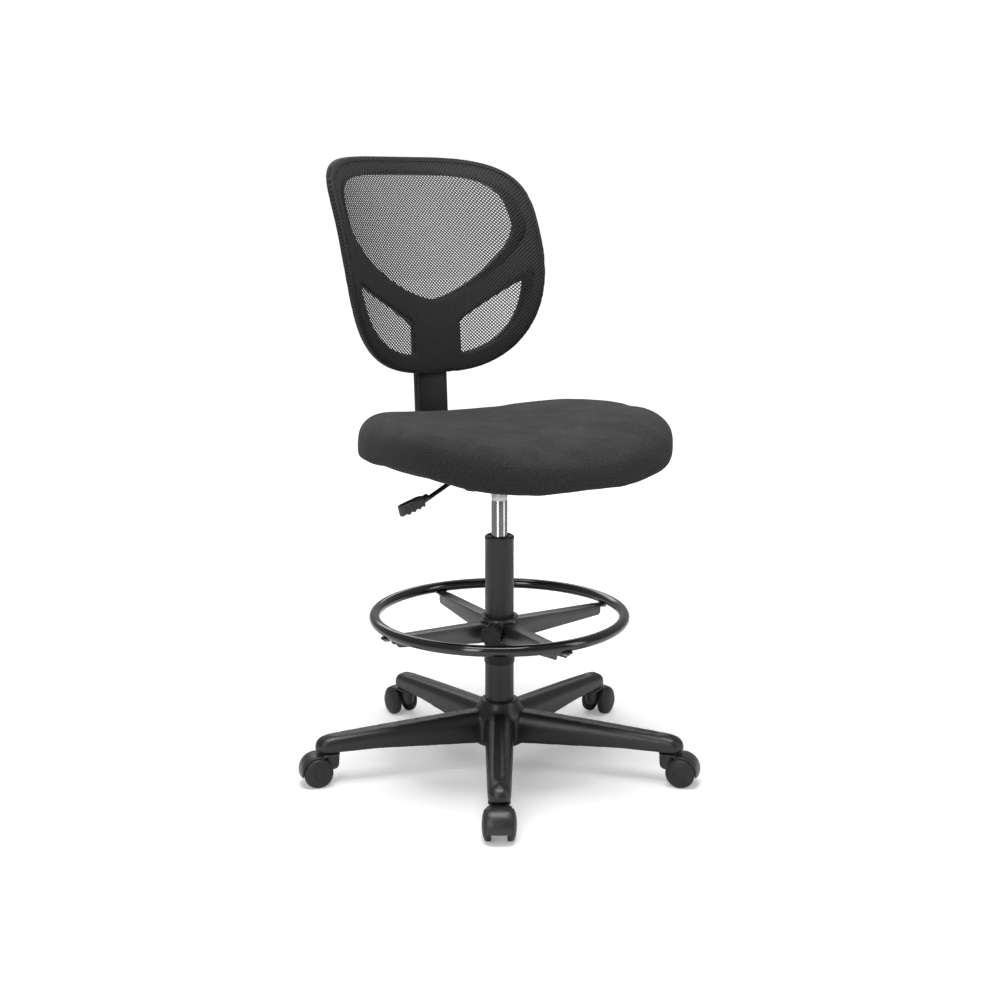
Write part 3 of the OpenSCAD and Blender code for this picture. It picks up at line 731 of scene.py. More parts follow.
# %% [markdown]
# ## The footring
# The ring is a gloss-black painted steel tube bent to a circle and butt-welded. Four pressed
# channel spokes carry it: each is a strip whose two sides are folded down, deepest at the hub,
# with a rounded foot screwed under the ring. A turned hub clamps on a plastic sleeve with a
# lobed knob.

# %% Bend the ring
pick(None)
bpy.ops.mesh.primitive_torus_add(major_radius=0.216, minor_radius=0.0095, major_segments=200,
                                 minor_segments=28,
                                 location=(0, 0, 0.268))
ring = settle(bpy.context.object)
ring.name = ring.data.name = "foot_ring_tube"
weld_at = math.radians(60)
for turn_by, proud in ((0.0, 0.0005), (0.0325, 0.0)):
    select_faces(ring, lambda c, n: abs(math.atan2(c.y, c.x) - weld_at) < 0.012)
    if turn_by == 0.0:
        bpy.ops.mesh.inset(thickness=0.0006, depth=0.0)
        bpy.ops.transform.shrink_fatten(value=proud)
    leave()
modify(ring, "SUBSURF", levels=1, render_levels=1)
finish(ring, "footring", "ring_paint", "foot_ring")

# %% Press one spoke and set four
spoke_top, foot_x = 258.4, 216
plate_points = [(29.2, -10.2)] + [(x, y) for x, y in arc((foot_x, 0), 10.6, -68, 68, 12)] + [(29.2, 10.2)]
plate = cut("plate", [(x, y, spoke_top - 2.5) for x, y in plate_points], (0, 0, 2.5))
# the strip widens to its fold lines, so the plate and the sides meet in a soft bend
side_points = [(29.2, spoke_top - 1.2), (29.2, spoke_top - 32)] + arc((33, spoke_top - 29.4), 3.6, 225,
                                                                      268, 4) + [
    (47, spoke_top - 33)] + [(190, spoke_top - 18)] + arc((196, spoke_top - 10), 7.6, 258, 360,
                                                          10) + [(203.6, spoke_top - 1.2)]
sides = []
for y in (-11, 9):
    sides.append(cut("side", [(x, y, z) for x, z in side_points], (0, 2, 0)))
cap = cut("cap", [(x, y, spoke_top - 2.4) for x,
                  y in [(29.2, -11), (203.6, -11), (203.6, 11), (29.2, 11)]], (0, 0, 2.4))
soften(cap, 1.6, 4)
for part in sides:
    soften(part, 0.35, 2)
soften(plate, 0.4, 2)
spoke = join("spoke", plate, cap, *sides)
spokes = [copy(spoke, f"spoke_{i}", about("Z", 90 * i)) for i in range(4)]
remove(spoke)
finish(join("pressed_spokes", *spokes), "footring", "spoke_paint", "ring_spokes")

# %% Turn the hub and the sleeve
clamp = turn("clamp_hub", [(26.6, 224.6), (27.2, 224), (29.4, 224), (30, 224.6), (30, 258), (31.4, 259.6),
                           (31.4, 262.6),
                           (30.8, 263.8), (27.2, 263.8), (26.6, 263.2)], 96)
# a short boss carries the knob's thread
lug = turn("lug", [(0, 26.5), (9.4, 26.5), (9.4, 33.2), (8.6, 34.2), (4.1, 34.2), (4.1, 26.5)], 32,
           loop=False)
lug = move(lug, shift(0, 0, 243) @ about("Z", 225) @ about("Y", 90))
finish(join("clamp_hub", clamp, lug), "footring", "spoke_paint", "ring_hub")
sleeve = turn("height_sleeve", [(25.06, 183), (25.9, 183), (26.5, 184.4), (26.5, 262.6), (31.2, 264.1),
                                (32.4, 264.6),
                                (32.6, 266), (31.9, 267), (25.6, 267), (25.06, 266.4)], 96)
finish(sleeve, "ring_collar", "black_plastic", "collar_sleeve")


# %% Mould a lobed knob
def lobed(name, radius, lobes, dip, height, neck):
    """A hand knob on the Z axis: a lobed rim with a dished top, on a round neck."""
    rim = []
    for i in range(lobes * 12):
        angle = 2 * math.pi * i / (lobes * 12)
        rim.append(((radius - dip * (0.5 + 0.5 * math.cos(lobes * angle)) ** 2) * math.cos(angle),
                    (radius - dip * (0.5 + 0.5 * math.cos(lobes * angle)) ** 2) * math.sin(angle), 0))
    knob = cut(name, rim, (0, 0, height))
    # the top is pushed on by steps: up over a rounded brow, down into a dish, out again to a cap
    select_faces(knob, lambda c, n: n.z > 0.95)
    for size, climb in ((0.975, 0.9), (0.95, 0.6), (0.91, 0.35), (0.84, 0.1), (0.95, -1.1), (0.62, -0.4),
                        (0.94, 0.6)):
        bpy.ops.mesh.extrude_region_move(TRANSFORM_OT_translate={"value": (0, 0, climb * mm)})
        bpy.ops.transform.resize(value=(size, size, 1), center_override=(0, 0, height * mm))
    leave()
    soften(knob, 0.5, 2, 50)
    stem = turn("neck", [(0, -neck[1]), (neck[0] - 0.6, -neck[1]), (neck[0], -neck[1] + 0.6),
                         (neck[0], 1), (0, 1)], 48,
                loop=False)
    return join(name, knob, stem)


grip = lobed("clamp_grip_knob", 19.4, 8, 2.6, 18, (10, 3.6))
grip = move(grip, shift(0, 0, 243) @ about("Z", 225) @ about("Y", 90) @ shift(0, 0, 38))
finish(grip, "ring_knob", "black_plastic", "clamp_grip")

# %% [markdown]
# ## Under the seat
# A folded steel tray is bolted to the seat board. The height lever leaves it on one side: a
# steel rod bent down towards the hand, with a plastic paddle pressed on its end. A second knob
# clamps the flat bar that carries the backrest. The rod is a drawn line given a round section,
# and the paddle is a rounded tab with finger grooves underneath.

# %% Fold the tray
tray = block("tray", (-85, -100, 507), (85, 112, 553))
select_faces(tray, lambda c, n: n.z < -0.9)
bpy.ops.mesh.delete(type="FACE")
leave()
edit(tray, "EDGE")
leave()
for line in tray.data.edges:
    a, b = (tray.data.vertices[v].co for v in line.vertices)
    line.select = abs(a.z - b.z) > 0.04 or (a.z > 0.55 and b.z > 0.55)
bpy.ops.object.mode_set(mode="EDIT")
bpy.ops.mesh.bevel(offset=0.006, segments=4, affect="EDGES")
leave()
modify(tray, "SOLIDIFY", thickness=0.0025, offset=-1)
slot_cut = move(block("slot_cut", (-110, -8, 512), (-70, 8, 546)), about("Z", 7.9))
carve(tray, soften(slot_cut, 3, 3))
carve(tray, block("bar_way", (-25.6, 90, 529.4), (25.6, 130, 538.6)))
receiver = block("receiver", (-31, 44, 526), (31, 111.5, 551))
carve(receiver, block("bar_way", (-25.2, 30, 529.8), (25.2, 130, 538.2)))
carve(receiver, move(rod("stud_way", 4.1, 30), shift(0, 84, 510)))
soften(receiver, 0.8, 2)
lugs = [move(block("lug", (-50, y, 528.5), (-40, y + 3, 551)), about("Z", 7.9)) for y in (-9, 6)]
tray = join("mechanism_tray", tray, receiver, *[soften(lug, 0.4, 2) for lug in lugs])
finish(tray, "seat", "black_steel", "mechanism_plate")

# %% Bend the lever
bend = [(4, 0), (-20, 0), (-40, 0), (-52, 0)]
bend += [(-52 - 18 * math.sin(math.radians(t)),
          -18 + 18 * math.cos(math.radians(t))) for t in np.linspace(3, 25, 9)]
last = bend[-1]
bend += [(last[0] - d * math.cos(math.radians(25)),
          last[1] - d * math.sin(math.radians(25))) for d in (20, 45, 70, 95, 103)]
lever = draw("lever", [(x, 0, z) for x, z in bend])
pick(lever)
bpy.ops.object.convert(target="CURVE")
lever = bpy.context.object
lever.data.bevel_depth, lever.data.bevel_resolution, lever.data.use_fill_caps = 0.004, 6, True
bpy.ops.object.convert(target="MESH")
lever = bpy.context.object
tidy_faces(lever)
soften(lever, 0.6, 2, 60)
lever_place = about("Z", 7.9) @ shift(0, 0, 534.5)
finish(move(lever, lever_place), "height_lever", "lever_steel", "lever_rod")

# %% Mould the paddle
outline = arc((-19, 0), 9.5, -90, 90, 12) + arc((-49, 0), 10.5, 90, 270, 12)
paddle = cut("paddle", [(x, y, -8) for x, y in outline], (0, 0, 16))
select_faces(paddle, lambda c, n: n.z > 0.95)
bpy.ops.mesh.inset(thickness=0.0036, depth=0)
bpy.ops.mesh.inset(thickness=0.0014, depth=-0.0014)
leave()
for x in (-53, -42, -31, -20):
    groove = move(rod("groove", 4.4, 40), shift(x, 20, -10) @ about("X", 90))
    carve(paddle, groove)
soften(paddle, 1.4, 3, 40)
collar = turn("collar", [(4.2, 0), (6.6, 0), (6.9, 0.6), (6.0, 11), (5.3, 12), (4.2, 12)], 40)
collar = move(collar, shift(-12, 0, 1) @ about("Y", 81))
paddle = join("paddle", paddle, collar)
finish(move(paddle, lever_place @ shift(-149, 0, -43) @ about("Y", -16)), "height_lever",
       "paddle_plastic", "lever_paddle")

# %% Mould the depth knob and bend the back bar
knob = lobed("depth_hand_knob", 20, 12, 2.2, 17, (9, 0.5))
stud = turn("stud", [(0, 510), (0, 486), (9, 486), (9, 509), (8.4, 510), (4, 510), (4, 529.6),
                     (0, 529.6)], 40, loop=False)
knob = move(knob, shift(0, 84, 492) @ about("X", 180))
finish(join("depth_hand_knob", knob, move(stud, shift(0, 84, 0))), "back_knob", "black_plastic",
       "depth_knob")

bar_base = Vector((0, 229, 554))
rise = 106 + 116
lean = math.radians(3.6)
inner = [(229 + y, 554 + z) for y, z in arc((0, 0), 16, -90, -3.6, 10)]
outer = [(229 + y, 554 + z) for y, z in arc((0, 0), 24, -90, -3.6, 10)]
up = (rise * math.sin(lean), rise * math.cos(lean))
side_line = [(50, 530)] + outer + [(outer[-1][0] + up[0], outer[-1][1] + up[1]),
                                   (inner[-1][0] + up[0], inner[-1][1] + up[1])]
side_line += inner[::-1] + [(50, 538)]
bar = cut("flat_bar", [(-25, y, z) for y, z in side_line], (50, 0, 0))
finish(soften(bar, 1.2, 3, 40), "backrest", "black_steel", "back_bar")

# %% Mould the bar's cover
along_bar = shift(0, 229, 554) @ about("X", -3.6) @ shift(0, 16, 0)
cover = block("bar_cover", (-32, -6, 6), (32, 14, 112))
edit(cover, "EDGE")
leave()
for line in cover.data.edges:
    a, b = (cover.data.vertices[v].co for v in line.vertices)
    line.select = abs(a.z - b.z) > 0.05
bpy.ops.object.mode_set(mode="EDIT")
bpy.ops.mesh.bevel(offset=0.007, segments=5, affect="EDGES")
leave()
select_faces(cover, lambda c, n: abs(n.z) > 0.9)
bpy.ops.mesh.inset(thickness=0.0015, depth=0)
bpy.ops.transform.resize(value=(1, 1, 1.012), center_override=(0, 0, 0.059))
leave()
finish(soften(move(cover, along_bar), 0.8, 2), "backrest", "black_plastic", "bar_sleeve")

# %% [markdown]
# ## The seat cushion
# Foam on a board, pulled tight under one piece of cloth: the top crowns a little, the front
# rolls down like a waterfall and the rim stays full. The foam is cut from an outline drawn from
# above and its edges are rounded. A cloth simulation then blows it up softly under pressure,
# with a limit on how far any point may travel, and at the end it is trimmed to its size.

# %% Cut the foam
seat_half_wide, seat_half_deep, seat_middle = 258, 216, -54
roundness = 2.7  # 2 is an ellipse, and more is squarer


def seat_line(grow):
    """The seat's outline from above, a rounded rectangle, as (x, y) points."""
    points = []
    for t in np.linspace(0, 2 * math.pi, 145)[:-1]:
        c, s = math.cos(t), math.sin(t)
        x = (seat_half_wide + grow) * math.copysign(abs(c) ** (2 / roundness), c)
        y = seat_middle + (seat_half_deep + grow) * math.copysign(abs(s) ** (2 / roundness), s)
        points.append((x, y))
    return points


cushion = cut("seat_pad", [(x, y, 554) for x, y in seat_line(-5)], (0, 0, 58))
modify(cushion, "REMESH", mode="VOXEL", voxel_size=5 * mm)
modify(cushion, "SMOOTH", factor=0.5, iterations=24)


# %% Shape and stuff it
def shape_foam(piece):
    """Dishes the middle of the seat, lifts its sides and rounds its rim, as the foam is cut."""
    mesh = piece.data
    co = np.empty(len(mesh.vertices) * 3)
    mesh.vertices.foreach_get("co", co)
    co = co.reshape(-1, 3)
    x = co[:, 0] / 0.258
    y = (co[:, 1] + 0.054) / 0.216
    rise = np.clip((co[:, 2] - 0.553) / 0.061, 0, 1)
    rim = np.clip((np.abs(x) ** roundness + np.abs(y) ** roundness) ** (1 / roundness), 0, 1)
    top = np.clip((rise - 0.5) / 0.4, 0, 1)
    sides = np.clip((np.abs(x) - 0.12) / 0.6, 0, 1) ** 1.3
    lift = 0.0135 * sides * np.clip((1.12 - rim) / 0.22, 0,
                                    1) * (1 - 0.55 * np.clip(y - 0.25, 0,
                                                             1) * np.clip(rim - 0.6, 0, 1) / 0.3)
    dish = -0.004 * np.exp(-((x / 0.5) ** 2) - ((y - 0.4) / 0.6) ** 2)
    # towards the back the side's fullest line sinks, so the top rolls over in a wide curve there
    sag = -0.010 * np.sin(math.pi * rise) * np.clip((rim - 0.72) / 0.26, 0,
                                                    1) * np.clip((y + 0.45) / 0.9, 0, 1)
    # the front rolls down like a waterfall
    fall = 0.037 * np.clip(-y, 0, 1) ** 3
    co[:, 2] += top * (lift + dish) + sag - fall
    mesh.vertices.foreach_set("co", co.ravel())
    mesh.update()


def puff(piece, cap, pressure=4.0, voxel=5.0):
    """Blows the piece up under soft pressure; no point moves further than cap, in metres."""
    modify(piece, "REMESH", mode="VOXEL", voxel_size=voxel * mm)
    before = np.empty(len(piece.data.vertices) * 3)
    piece.data.vertices.foreach_get("co", before)
    pick(piece)
    bpy.ops.object.modifier_add(type="CLOTH")
    cloth = piece.modifiers[-1]
    cloth.settings.quality = 5
    cloth.settings.use_pressure = True
    cloth.settings.uniform_pressure_force = pressure
    cloth.settings.effector_weights.gravity = 0
    cloth.settings.tension_stiffness = cloth.settings.compression_stiffness = 15
    cloth.settings.bending_stiffness = 0.5
    cloth.point_cache.frame_start, cloth.point_cache.frame_end = 1, 20
    for step in range(1, 21):
        bpy.context.scene.frame_set(step)
    bpy.ops.object.modifier_apply(modifier=cloth.name)
    bpy.context.scene.frame_set(1)
    after = np.empty_like(before)
    piece.data.vertices.foreach_get("co", after)
    travel = (after - before).reshape(-1, 3)
    length = np.linalg.norm(travel, axis=1, keepdims=True)
    travel *= np.minimum(1, cap / np.maximum(length, 1e-9))
    piece.data.vertices.foreach_set("co", before + travel.ravel())
    piece.data.update()
    return float(length.max())


print("cushion swelled by up to", round(puff(cushion, 0.007) / mm, 1), "mm")
modify(cushion, "SMOOTH", factor=0.5, iterations=14)
low, high = extent(cushion)
now, wanted = high - low, Vector((511, 430, 62)) * mm
cushion.matrix_world = Matrix.Translation(Vector((0, -54, 583.5)) * mm) @ Matrix.Diagonal(
    (wanted.x / now.x, wanted.y / now.y, wanted.z / now.z, 1)) @ Matrix.Translation(-(low + high) / 2)
settle(cushion)
shape_foam(cushion)
co = np.empty(len(cushion.data.vertices) * 3)
cushion.data.vertices.foreach_get("co", co)
co = co.reshape(-1, 3)
print("cushion box", co.min(0).round(4), co.max(0).round(4))
modify(cushion, "SMOOTH", factor=0.5, iterations=10)
modify(cushion, "SUBSURF", levels=1, render_levels=1)
finish(cushion, "seat", "seat_fabric", "seat_cushion", smooth=60)

# %% Cut the seat board
# Birch plywood, its edge eased, with four plain bolt holes where the nuts are driven in.
board = cut("board", [(x * 0.86, (y + 54) * 0.8 - 54, 553.2) for x, y in seat_line(-8)], (0, 0, 11.6))
for x in (-70, 70):
    for y in (-80, 80):
        carve(board, move(rod("bolt_hole", 4.6, 20, 32), shift(x, y, 550)))
finish(soften(board, 1.2, 3, 60), "seat", "plywood", "seat_board")

# %% [markdown]
# ## The backrest
# The back is a moulded frame, hollow across the sitter's back and leaning over from bottom to
# top, with a net stretched over it. It is easiest to draw flat, as its own front view: a
# rounded outline with one large window and two small ones under a Y-shaped rib. Once its
# edges are rounded it is laid on the saddle surface, the way a sheet is laid on a former.

# %% The saddle the backrest is laid on
hollow_r, lean_r = 0.300, 0.560
saddle_mid, saddle_tilt = (0.255, 0.861), math.radians(20)


def saddle(x, z):
    """How far back the net lies at each x and z, found by halving between two guesses."""
    near, far = np.full_like(x, -0.25), np.full_like(x, 0.35)
    cos_t, sin_t = math.cos(saddle_tilt), math.sin(saddle_tilt)
    for _ in range(40):
        y = (near + far) / 2
        along = y * cos_t - (z - saddle_mid[1]) * sin_t
        up = y * sin_t + (z - saddle_mid[1]) * cos_t
        reach = np.hypot(x, along + hollow_r)
        wall = hollow_r + lean_r - np.sqrt(lean_r ** 2 - up ** 2)
        behind = reach > wall
        near, far = np.where(behind, near, y), np.where(behind, y, far)
    # the sides, and the two top corners most, are drawn forward a little more than the rest
    wing = np.clip((np.abs(x) - 0.09) / 0.11, 0,
                   1) ** 2 * (0.009 + 0.005 * np.clip((z - 0.90) / 0.14, 0, 1))
    return (near + far) / 2 + saddle_mid[0] - wing


def lay_on_saddle(piece):
    """Takes a piece drawn flat, its depth along Y, and lays it on the saddle, keeping its thickness."""
    mesh = piece.data
    co = np.empty(len(mesh.vertices) * 3)
    mesh.vertices.foreach_get("co", co)
    co = co.reshape(-1, 3)
    x, z, step = co[:, 0], co[:, 2], 1e-4
    here = saddle(x, z)
    slope_x = (saddle(x + step, z) - here) / step
    slope_z = (saddle(x, z + step) - here) / step
    co[:, 1] = here + co[:, 1] * np.sqrt(1 + slope_x ** 2 + slope_z ** 2)
    mesh.vertices.foreach_set("co", co.ravel())
    mesh.update()
    return piece


def lobe(half_w, up, down, n_up, n_down, height, steps=96):
    """A rounded outline whose upper and lower halves are two superellipses, as (x, z) points."""
    points = []
    for i in range(steps):
        angle = 2 * math.pi * i / steps
        c, s = math.cos(angle), math.sin(angle)
        n = n_up if s >= 0 else n_down
        points.append((half_w * math.copysign(abs(c) ** (2 / n), c),
                       height + (up if s >= 0 else down) * math.copysign(abs(s) ** (2 / n), s)))
    return points


widest_z = 925
n_top, n_foot = 4.2, 2.75
half_wide, upper_half, lower_half = 199, 168, 172
back_line = lobe(half_wide, 134, 257, n_top, n_foot, widest_z)
upper_line = lobe(upper_half, 93, 133, 4, 1.45, widest_z + 8)


def in_lower_window(x, z, margin=0.0):
    """True inside the two lower windows, grown by a margin in millimetres."""
    inside = (np.abs(x) / (lower_half + margin)) ** 2.9 + (np.abs(z - widest_z) / (225 + margin)) ** 2.9 < 1
    rib = 760 + 0.668 * (np.abs(x) - 47) + margin * 1.2
    return inside & (z < rib) & (np.abs(x) > 47 - margin)


def in_upper_window(x, z, margin=0.0):
    up = z >= widest_z + 8
    n = np.where(up, 4, 1.45)
    tall = np.where(up, 93, 133) + margin
    return (np.abs(x) / (upper_half + margin)) ** n + (np.abs(z - widest_z - 8) / tall) ** n < 1


print("saddle behind the middle:", round(float(saddle(np.array([0.0]), np.array([0.861]))[0]), 4))

# %% Cut and mould the frame
flat_frame = cut("flat_frame", [(x, 1.4, z) for x, z in back_line], (0, 17.6, 0))
upper_cutter = cut("upper_cutter", [(x, -10, z) for x, z in upper_line], (0, 60, 0))
carve(flat_frame, upper_cutter)
for side in (-1, 1):
    line = [(side * x, z) for x, z in lobe(lower_half, 225, 225, 2.9, 2.9,
                                           widest_z) if x > 48 and z < 760 + 0.668 * (x - 47)]
    line.sort(key=lambda p: math.atan2(p[1] - 760, side * p[0] - 47))
    line = [(side * 47, line[0][1] - 0.5)] + line + [(side * 47, 760)]
    carve(flat_frame, cut("lower_cutter", [(x, -10, z) for x, z in line], (0, 60, 0)))
mould(flat_frame, 2.6, smooth=5)
lay_on_saddle(flat_frame)
mount = block("mount", (-34, -6, 116), (34, 14, 228))
soften(mount, 4, 3)
mount = move(mount, along_bar)
# two ribs run from the mount out along the arms of the Y
ribs = []
for side in (-1, 1):
    rib = cut("rib", [(x, 14, z) for x,
                      z in ((side * 14, 742), (side * 30, 742), (side * 150, 838), (side * 150, 846),
                                               (side * 140, 846), (side * 14, 762))], (0, 11, 0))
    modify(rib, "REMESH", mode="VOXEL", voxel_size=3 * mm)
    ribs.append(lay_on_saddle(rib))
back = join("back_moulding", flat_frame, mount, *ribs)
mould(back, 2.3, smooth=3)
finish(back, "backrest", "frame_plastic", "back_frame", smooth=60)

# %% [markdown]
# ## The net
# A stretched net is one cloth, with real holes where it spans the windows and the same pattern,
# closed, where it lies on the frame and wraps round its edge. The open part starts as a grid of
# square faces. Every face is inset on its own and its middle deleted, which leaves the threads.
# The grid is squeezed before the inset and let out after it, so the threads that run one way
# come out thicker, as they do in warp-knitted net. Then it is turned by an eighth and trimmed
# to the windows.

# %% Knit the open net
cell = 4.28
cells = 100
squeeze = 0.70
pick(None)
bpy.ops.mesh.primitive_grid_add(x_subdivisions=cells, y_subdivisions=cells, size=cell * cells * mm)
net = settle(bpy.context.object)
net.name = net.data.name = "net"
edit(net, "FACE")
bpy.ops.mesh.select_all(action="SELECT")
bpy.ops.transform.resize(value=(squeeze, 1, 1), center_override=(0, 0, 0))
bpy.ops.mesh.inset(use_individual=True, thickness=0.0007)
bpy.ops.mesh.delete(type="FACE")
bpy.ops.mesh.select_all(action="SELECT")
bpy.ops.transform.resize(value=(1 / squeeze, 1, 1), center_override=(0, 0, 0))
leave()
# turned by 45 degrees, stretched to its true repeat and stood up facing the sitter
stretch = Matrix.Diagonal((net_wide / (cell * math.sqrt(2)), net_high / (cell * math.sqrt(2)), 1, 1))
net = move(net, shift(0, 0, 868 + 0.9) @ about("X", 90) @ stretch @ about("Z", 45))
middle = np.empty(len(net.data.polygons) * 3)
net.data.polygons.foreach_get("center", middle)
middle = middle.reshape(-1, 3) * 1000
keep = in_upper_window(middle[:, 0], middle[:, 2], 9) | in_lower_window(middle[:, 0], middle[:, 2], 8)
pick(net)
net.data.polygons.foreach_set("select", ~keep)
bpy.ops.object.mode_set(mode="EDIT")
bpy.ops.mesh.select_mode(type="FACE")
leave()
net.data.polygons.foreach_set("select", ~keep)
bpy.ops.object.mode_set(mode="EDIT")
bpy.ops.mesh.delete(type="FACE")
leave()
lay_on_saddle(net)
modify(net, "SOLIDIFY", thickness=0.0008, offset=0)
print("open net:", len(net.data.polygons), "faces")

# %% Wrap the closed border round the frame
border = copy(back, "border")
select_faces(border, lambda c, n: True)
leave()
flat_line = np.array(back_line)
centres = np.empty(len(border.data.polygons) * 3)
normals = np.empty(len(border.data.polygons) * 3)
border.data.polygons.foreach_get("center", centres)
border.data.polygons.foreach_get("normal", normals)
centres, normals = centres.reshape(-1, 3), normals.reshape(-1, 3)
depth = centres[:, 1] - saddle(centres[:, 0], centres[:, 2])
x, z = centres[:, 0] * 1000, centres[:, 2] * 1000
up = z >= widest_z
n = np.where(up, n_top, n_foot)
reach = (np.abs(x) / half_wide) ** n + (np.abs(z - widest_z) / np.where(up, 134, 257)) ** n
near_edge = reach > 0.90
front_face = (depth < 0.0035) & ~in_upper_window(x, z, -1.5) & ~in_lower_window(x, z, -1.5)
wrapped = near_edge & (depth < 0.021)
below = (np.abs(x) < 40) & (z < 775) & (depth > 0.004)
keep = (front_face | wrapped) & ~below
border.data.polygons.foreach_set("select", ~keep)
bpy.ops.object.mode_set(mode="EDIT")
bpy.ops.mesh.delete(type="FACE")
bpy.ops.mesh.select_all(action="SELECT")
bpy.ops.transform.shrink_fatten(value=0.0009)
leave()
modify(border, "SMOOTH", factor=0.5, iterations=2)
modify(border, "SOLIDIFY", thickness=0.0008, offset=0)
print("border:", len(border.data.polygons), "faces")

# %% Sew the edge
# The seam follows the outline a little inside it: a welt cord with short stitches lying over it.
def inside_line(inset):
    return lobe(half_wide - inset, 134 - inset, 257 - inset, n_top, n_foot, widest_z, steps=260)


seam_points = inside_line(7)
seam = draw("seam", [(x, -1.0, z) for x, z in seam_points + seam_points[:1]])
lay_on_saddle(seam)
pick(seam)
bpy.ops.object.convert(target="CURVE")
seam = bpy.context.object
seam.data.bevel_depth, seam.data.bevel_resolution = 0.0005, 1
bpy.ops.object.convert(target="MESH")
seam = tidy_faces(bpy.context.object)
line = np.array(inside_line(10.5))
steps = np.hypot(*np.diff(np.vstack([line, line[:1]]), axis=0).T)
length = steps.sum()
travelled = np.concatenate([[0], np.cumsum(steps)])
closed = np.vstack([line, line[:1]])
stitch_count = int(length / 5.2)
stitch = block("stitch", (-1.5, -0.25, -0.3), (1.5, 0.25, 0.3))
soften(stitch, 0.25, 1)
stitches = []
for i in range(stitch_count):
    s = length * i / stitch_count
    k = min(np.searchsorted(travelled, s, side="right") - 1, len(line) - 1)
    part = (s - travelled[k]) / steps[k]
    p = closed[k] + (closed[k + 1] - closed[k]) * part
    d = closed[k + 1] - closed[k]
    depth_here = float(saddle(np.array([p[0] * mm]), np.array([p[1] * mm]))[0]) / mm
    ahead = p + d / np.hypot(*d)
    depth_next = float(saddle(np.array([ahead[0] * mm]), np.array([ahead[1] * mm]))[0]) / mm
    run = Vector((ahead[0] - p[0], depth_next - depth_here, ahead[1] - p[1]))
    stitches.append((Vector((p[0], depth_here - 0.9, p[1])), run.to_track_quat("X", "Z")))
rows = []
for spot, turned in stitches:
    rows.append(copy(stitch, "stitch_one", Matrix.Translation(spot * mm) @ turned.to_matrix().to_4x4()))
remove(stitch)
fabric = join("back_net", net, border, seam, *rows)
finish(fabric, "backrest", "mesh_fabric", "back_mesh", smooth=50)

# %% Turn the back screws
screw = turn("screw", [(0, 13.9), (6, 13.9), (6, 16.4), (5.4, 17.6), (3.4, 18.1), (2.5, 18.1),
                       (2.5, 15.6), (0, 15.6)], 32,
             loop=False)
screws = [copy(screw, f"back_screw_{z}",
               along_bar @ shift(0, 0, 106 + z) @ about("X", -90)) for z in (30, 62, 94)]
remove(screw)
finish(join("back_screw_heads", *screws), "backrest", "zinc_steel", "back_screws", smooth=25)

# %% [markdown]
# ## Floor, light and camera
# A pale studio sweep, one broad soft light overhead, a softer one on each side and a bright
# surround. Black things are drawn by what they reflect, so the lights are large and pale and
# leave clean bands along the ring, the column and the arms of the base.

# %% Set the stage
pick(None)
bpy.ops.mesh.primitive_plane_add(size=30, location=(0, 0, 0))
floor = bpy.context.object
floor.name = "studio_floor"
floor_paint = bpy.data.materials.new("studio_floor")
floor_paint.use_nodes = True
paint = floor_paint.node_tree
paint_shader = paint.nodes["Principled BSDF"]
paint_shader.inputs["Base Color"].default_value = (0.90, 0.90, 0.90, 1)
paint_shader.inputs["Roughness"].default_value = 0.7
paint_shader.inputs["Specular IOR Level"].default_value = 0.2
# Away from the chair the floor glows a little more, so it runs into the white surround unseen.
place = put(paint, "ShaderNodeTexCoord").outputs["Object"]
span = put(paint, "ShaderNodeVectorMath", {"operation": "LENGTH"}, i0=place).outputs["Value"]
glow = put(paint, "ShaderNodeMapRange", None, i0=span, i1=0.25, i2=2.2, i3=0.22, i4=0.8).outputs[0]
direct = put(paint, "ShaderNodeLightPath").outputs["Is Camera Ray"]
paint_shader.inputs["Emission Color"].default_value = (1, 1, 1, 1)
paint.links.new(maths(paint, "MULTIPLY", glow, direct), paint_shader.inputs["Emission Strength"])
floor.data.materials.append(floor_paint)


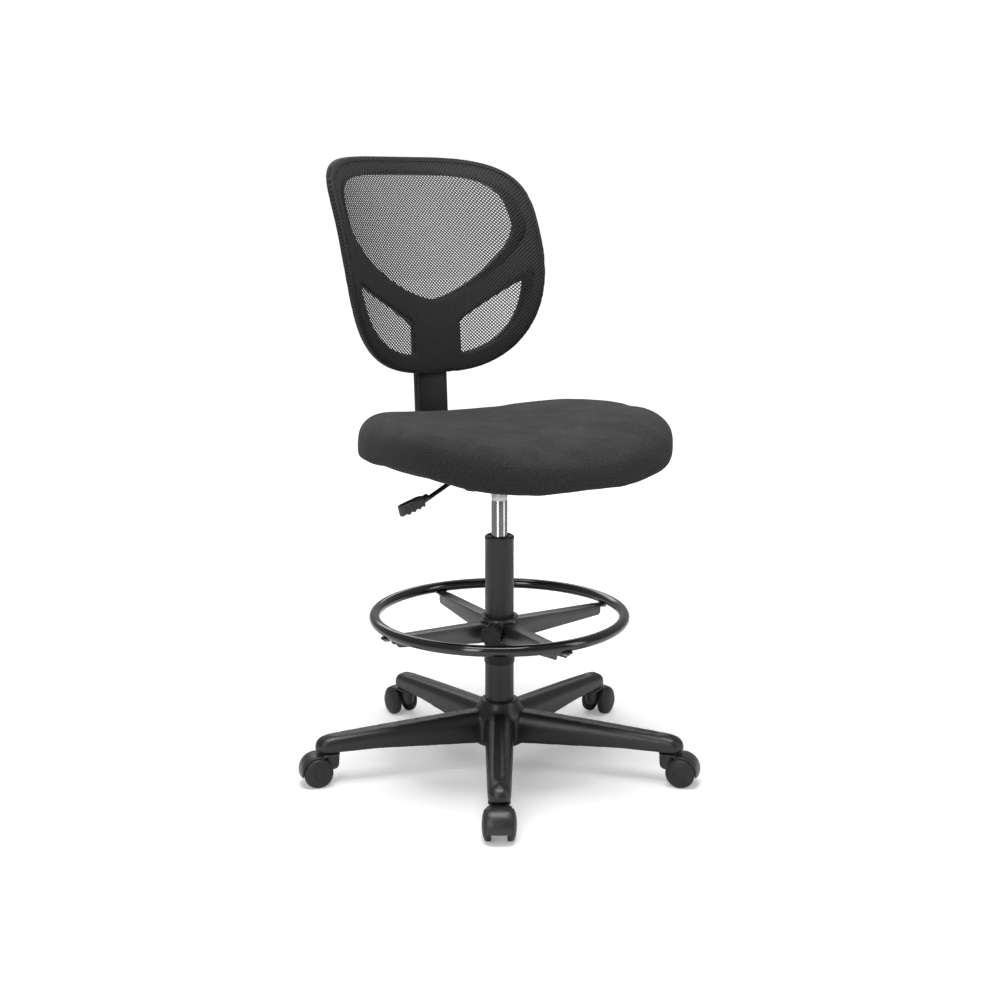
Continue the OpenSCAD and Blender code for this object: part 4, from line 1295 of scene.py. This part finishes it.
def softbox(name, place, aim, size, power):
    pick(None)
    bpy.ops.object.light_add(type="AREA", location=place)
    lamp = bpy.context.object
    lamp.name = name
    lamp.data.shape = "RECTANGLE"
    lamp.data.size, lamp.data.size_y = size
    lamp.data.energy = power
    lamp.rotation_euler = (Vector(aim) - Vector(place)).to_track_quat("-Z", "Y").to_euler()
    return lamp


softbox("overhead", (-0.3, -0.4, 2.7), (0, 0, 0.4), (1.5, 1.5), 64)
softbox("left_side", (-2.4, -1.8, 1.5), (0, 0, 0.5), (0.7, 2.2), 28)
softbox("right_side", (1.8, -2.2, 1.4), (0, 0, 0.5), (0.6, 2.0), 14)
softbox("behind", (0.8, 2.6, 2.0), (0, 0, 0.6), (2.4, 1.0), 18)
# The surround is white to the eye, but dimmer in what it lends to the chair, so black stays black.
world = bpy.data.worlds.new("studio")
bpy.context.scene.world = world
world.use_nodes = True
surround = world.node_tree
seen = put(surround, "ShaderNodeLightPath").outputs["Is Camera Ray"]
strength = put(surround, "ShaderNodeMapRange", None, i0=seen, i1=0.0, i2=1.0, i3=0.34, i4=1.0).outputs[0]
surround.links.new(strength, surround.nodes["Background"].inputs["Strength"])
surround.nodes["Background"].inputs["Color"].default_value = (1, 1, 1, 1)
bpy.context.scene.view_settings.view_transform = "Standard"

# %% Set the camera
# It stands to the sitter's right of the chair, a twelfth of a turn off its front, a little above
# the backrest's middle and looking slightly down.
away, height, pitch, aside = 2.5102, 0.9755, 8.318, 0.00139
yaw = math.radians(30)
pick(None)
bpy.ops.object.camera_add(location=(
    aside * math.cos(yaw) - away * math.sin(yaw), -aside * math.sin(yaw) - away * math.cos(yaw), height),
    rotation=(math.radians(90 - pitch), 0, -yaw))
camera = bpy.context.object
camera.data.lens, camera.data.sensor_width = 53.643, 36
camera.data.shift_x, camera.data.shift_y = -0.00023, -0.08
camera.data.clip_start, camera.data.clip_end = 0.05, 100
bpy.context.scene.camera = camera

# %% Measure
print("triangles in new pieces:", sum(len(p.data.loop_triangles) for p in made))
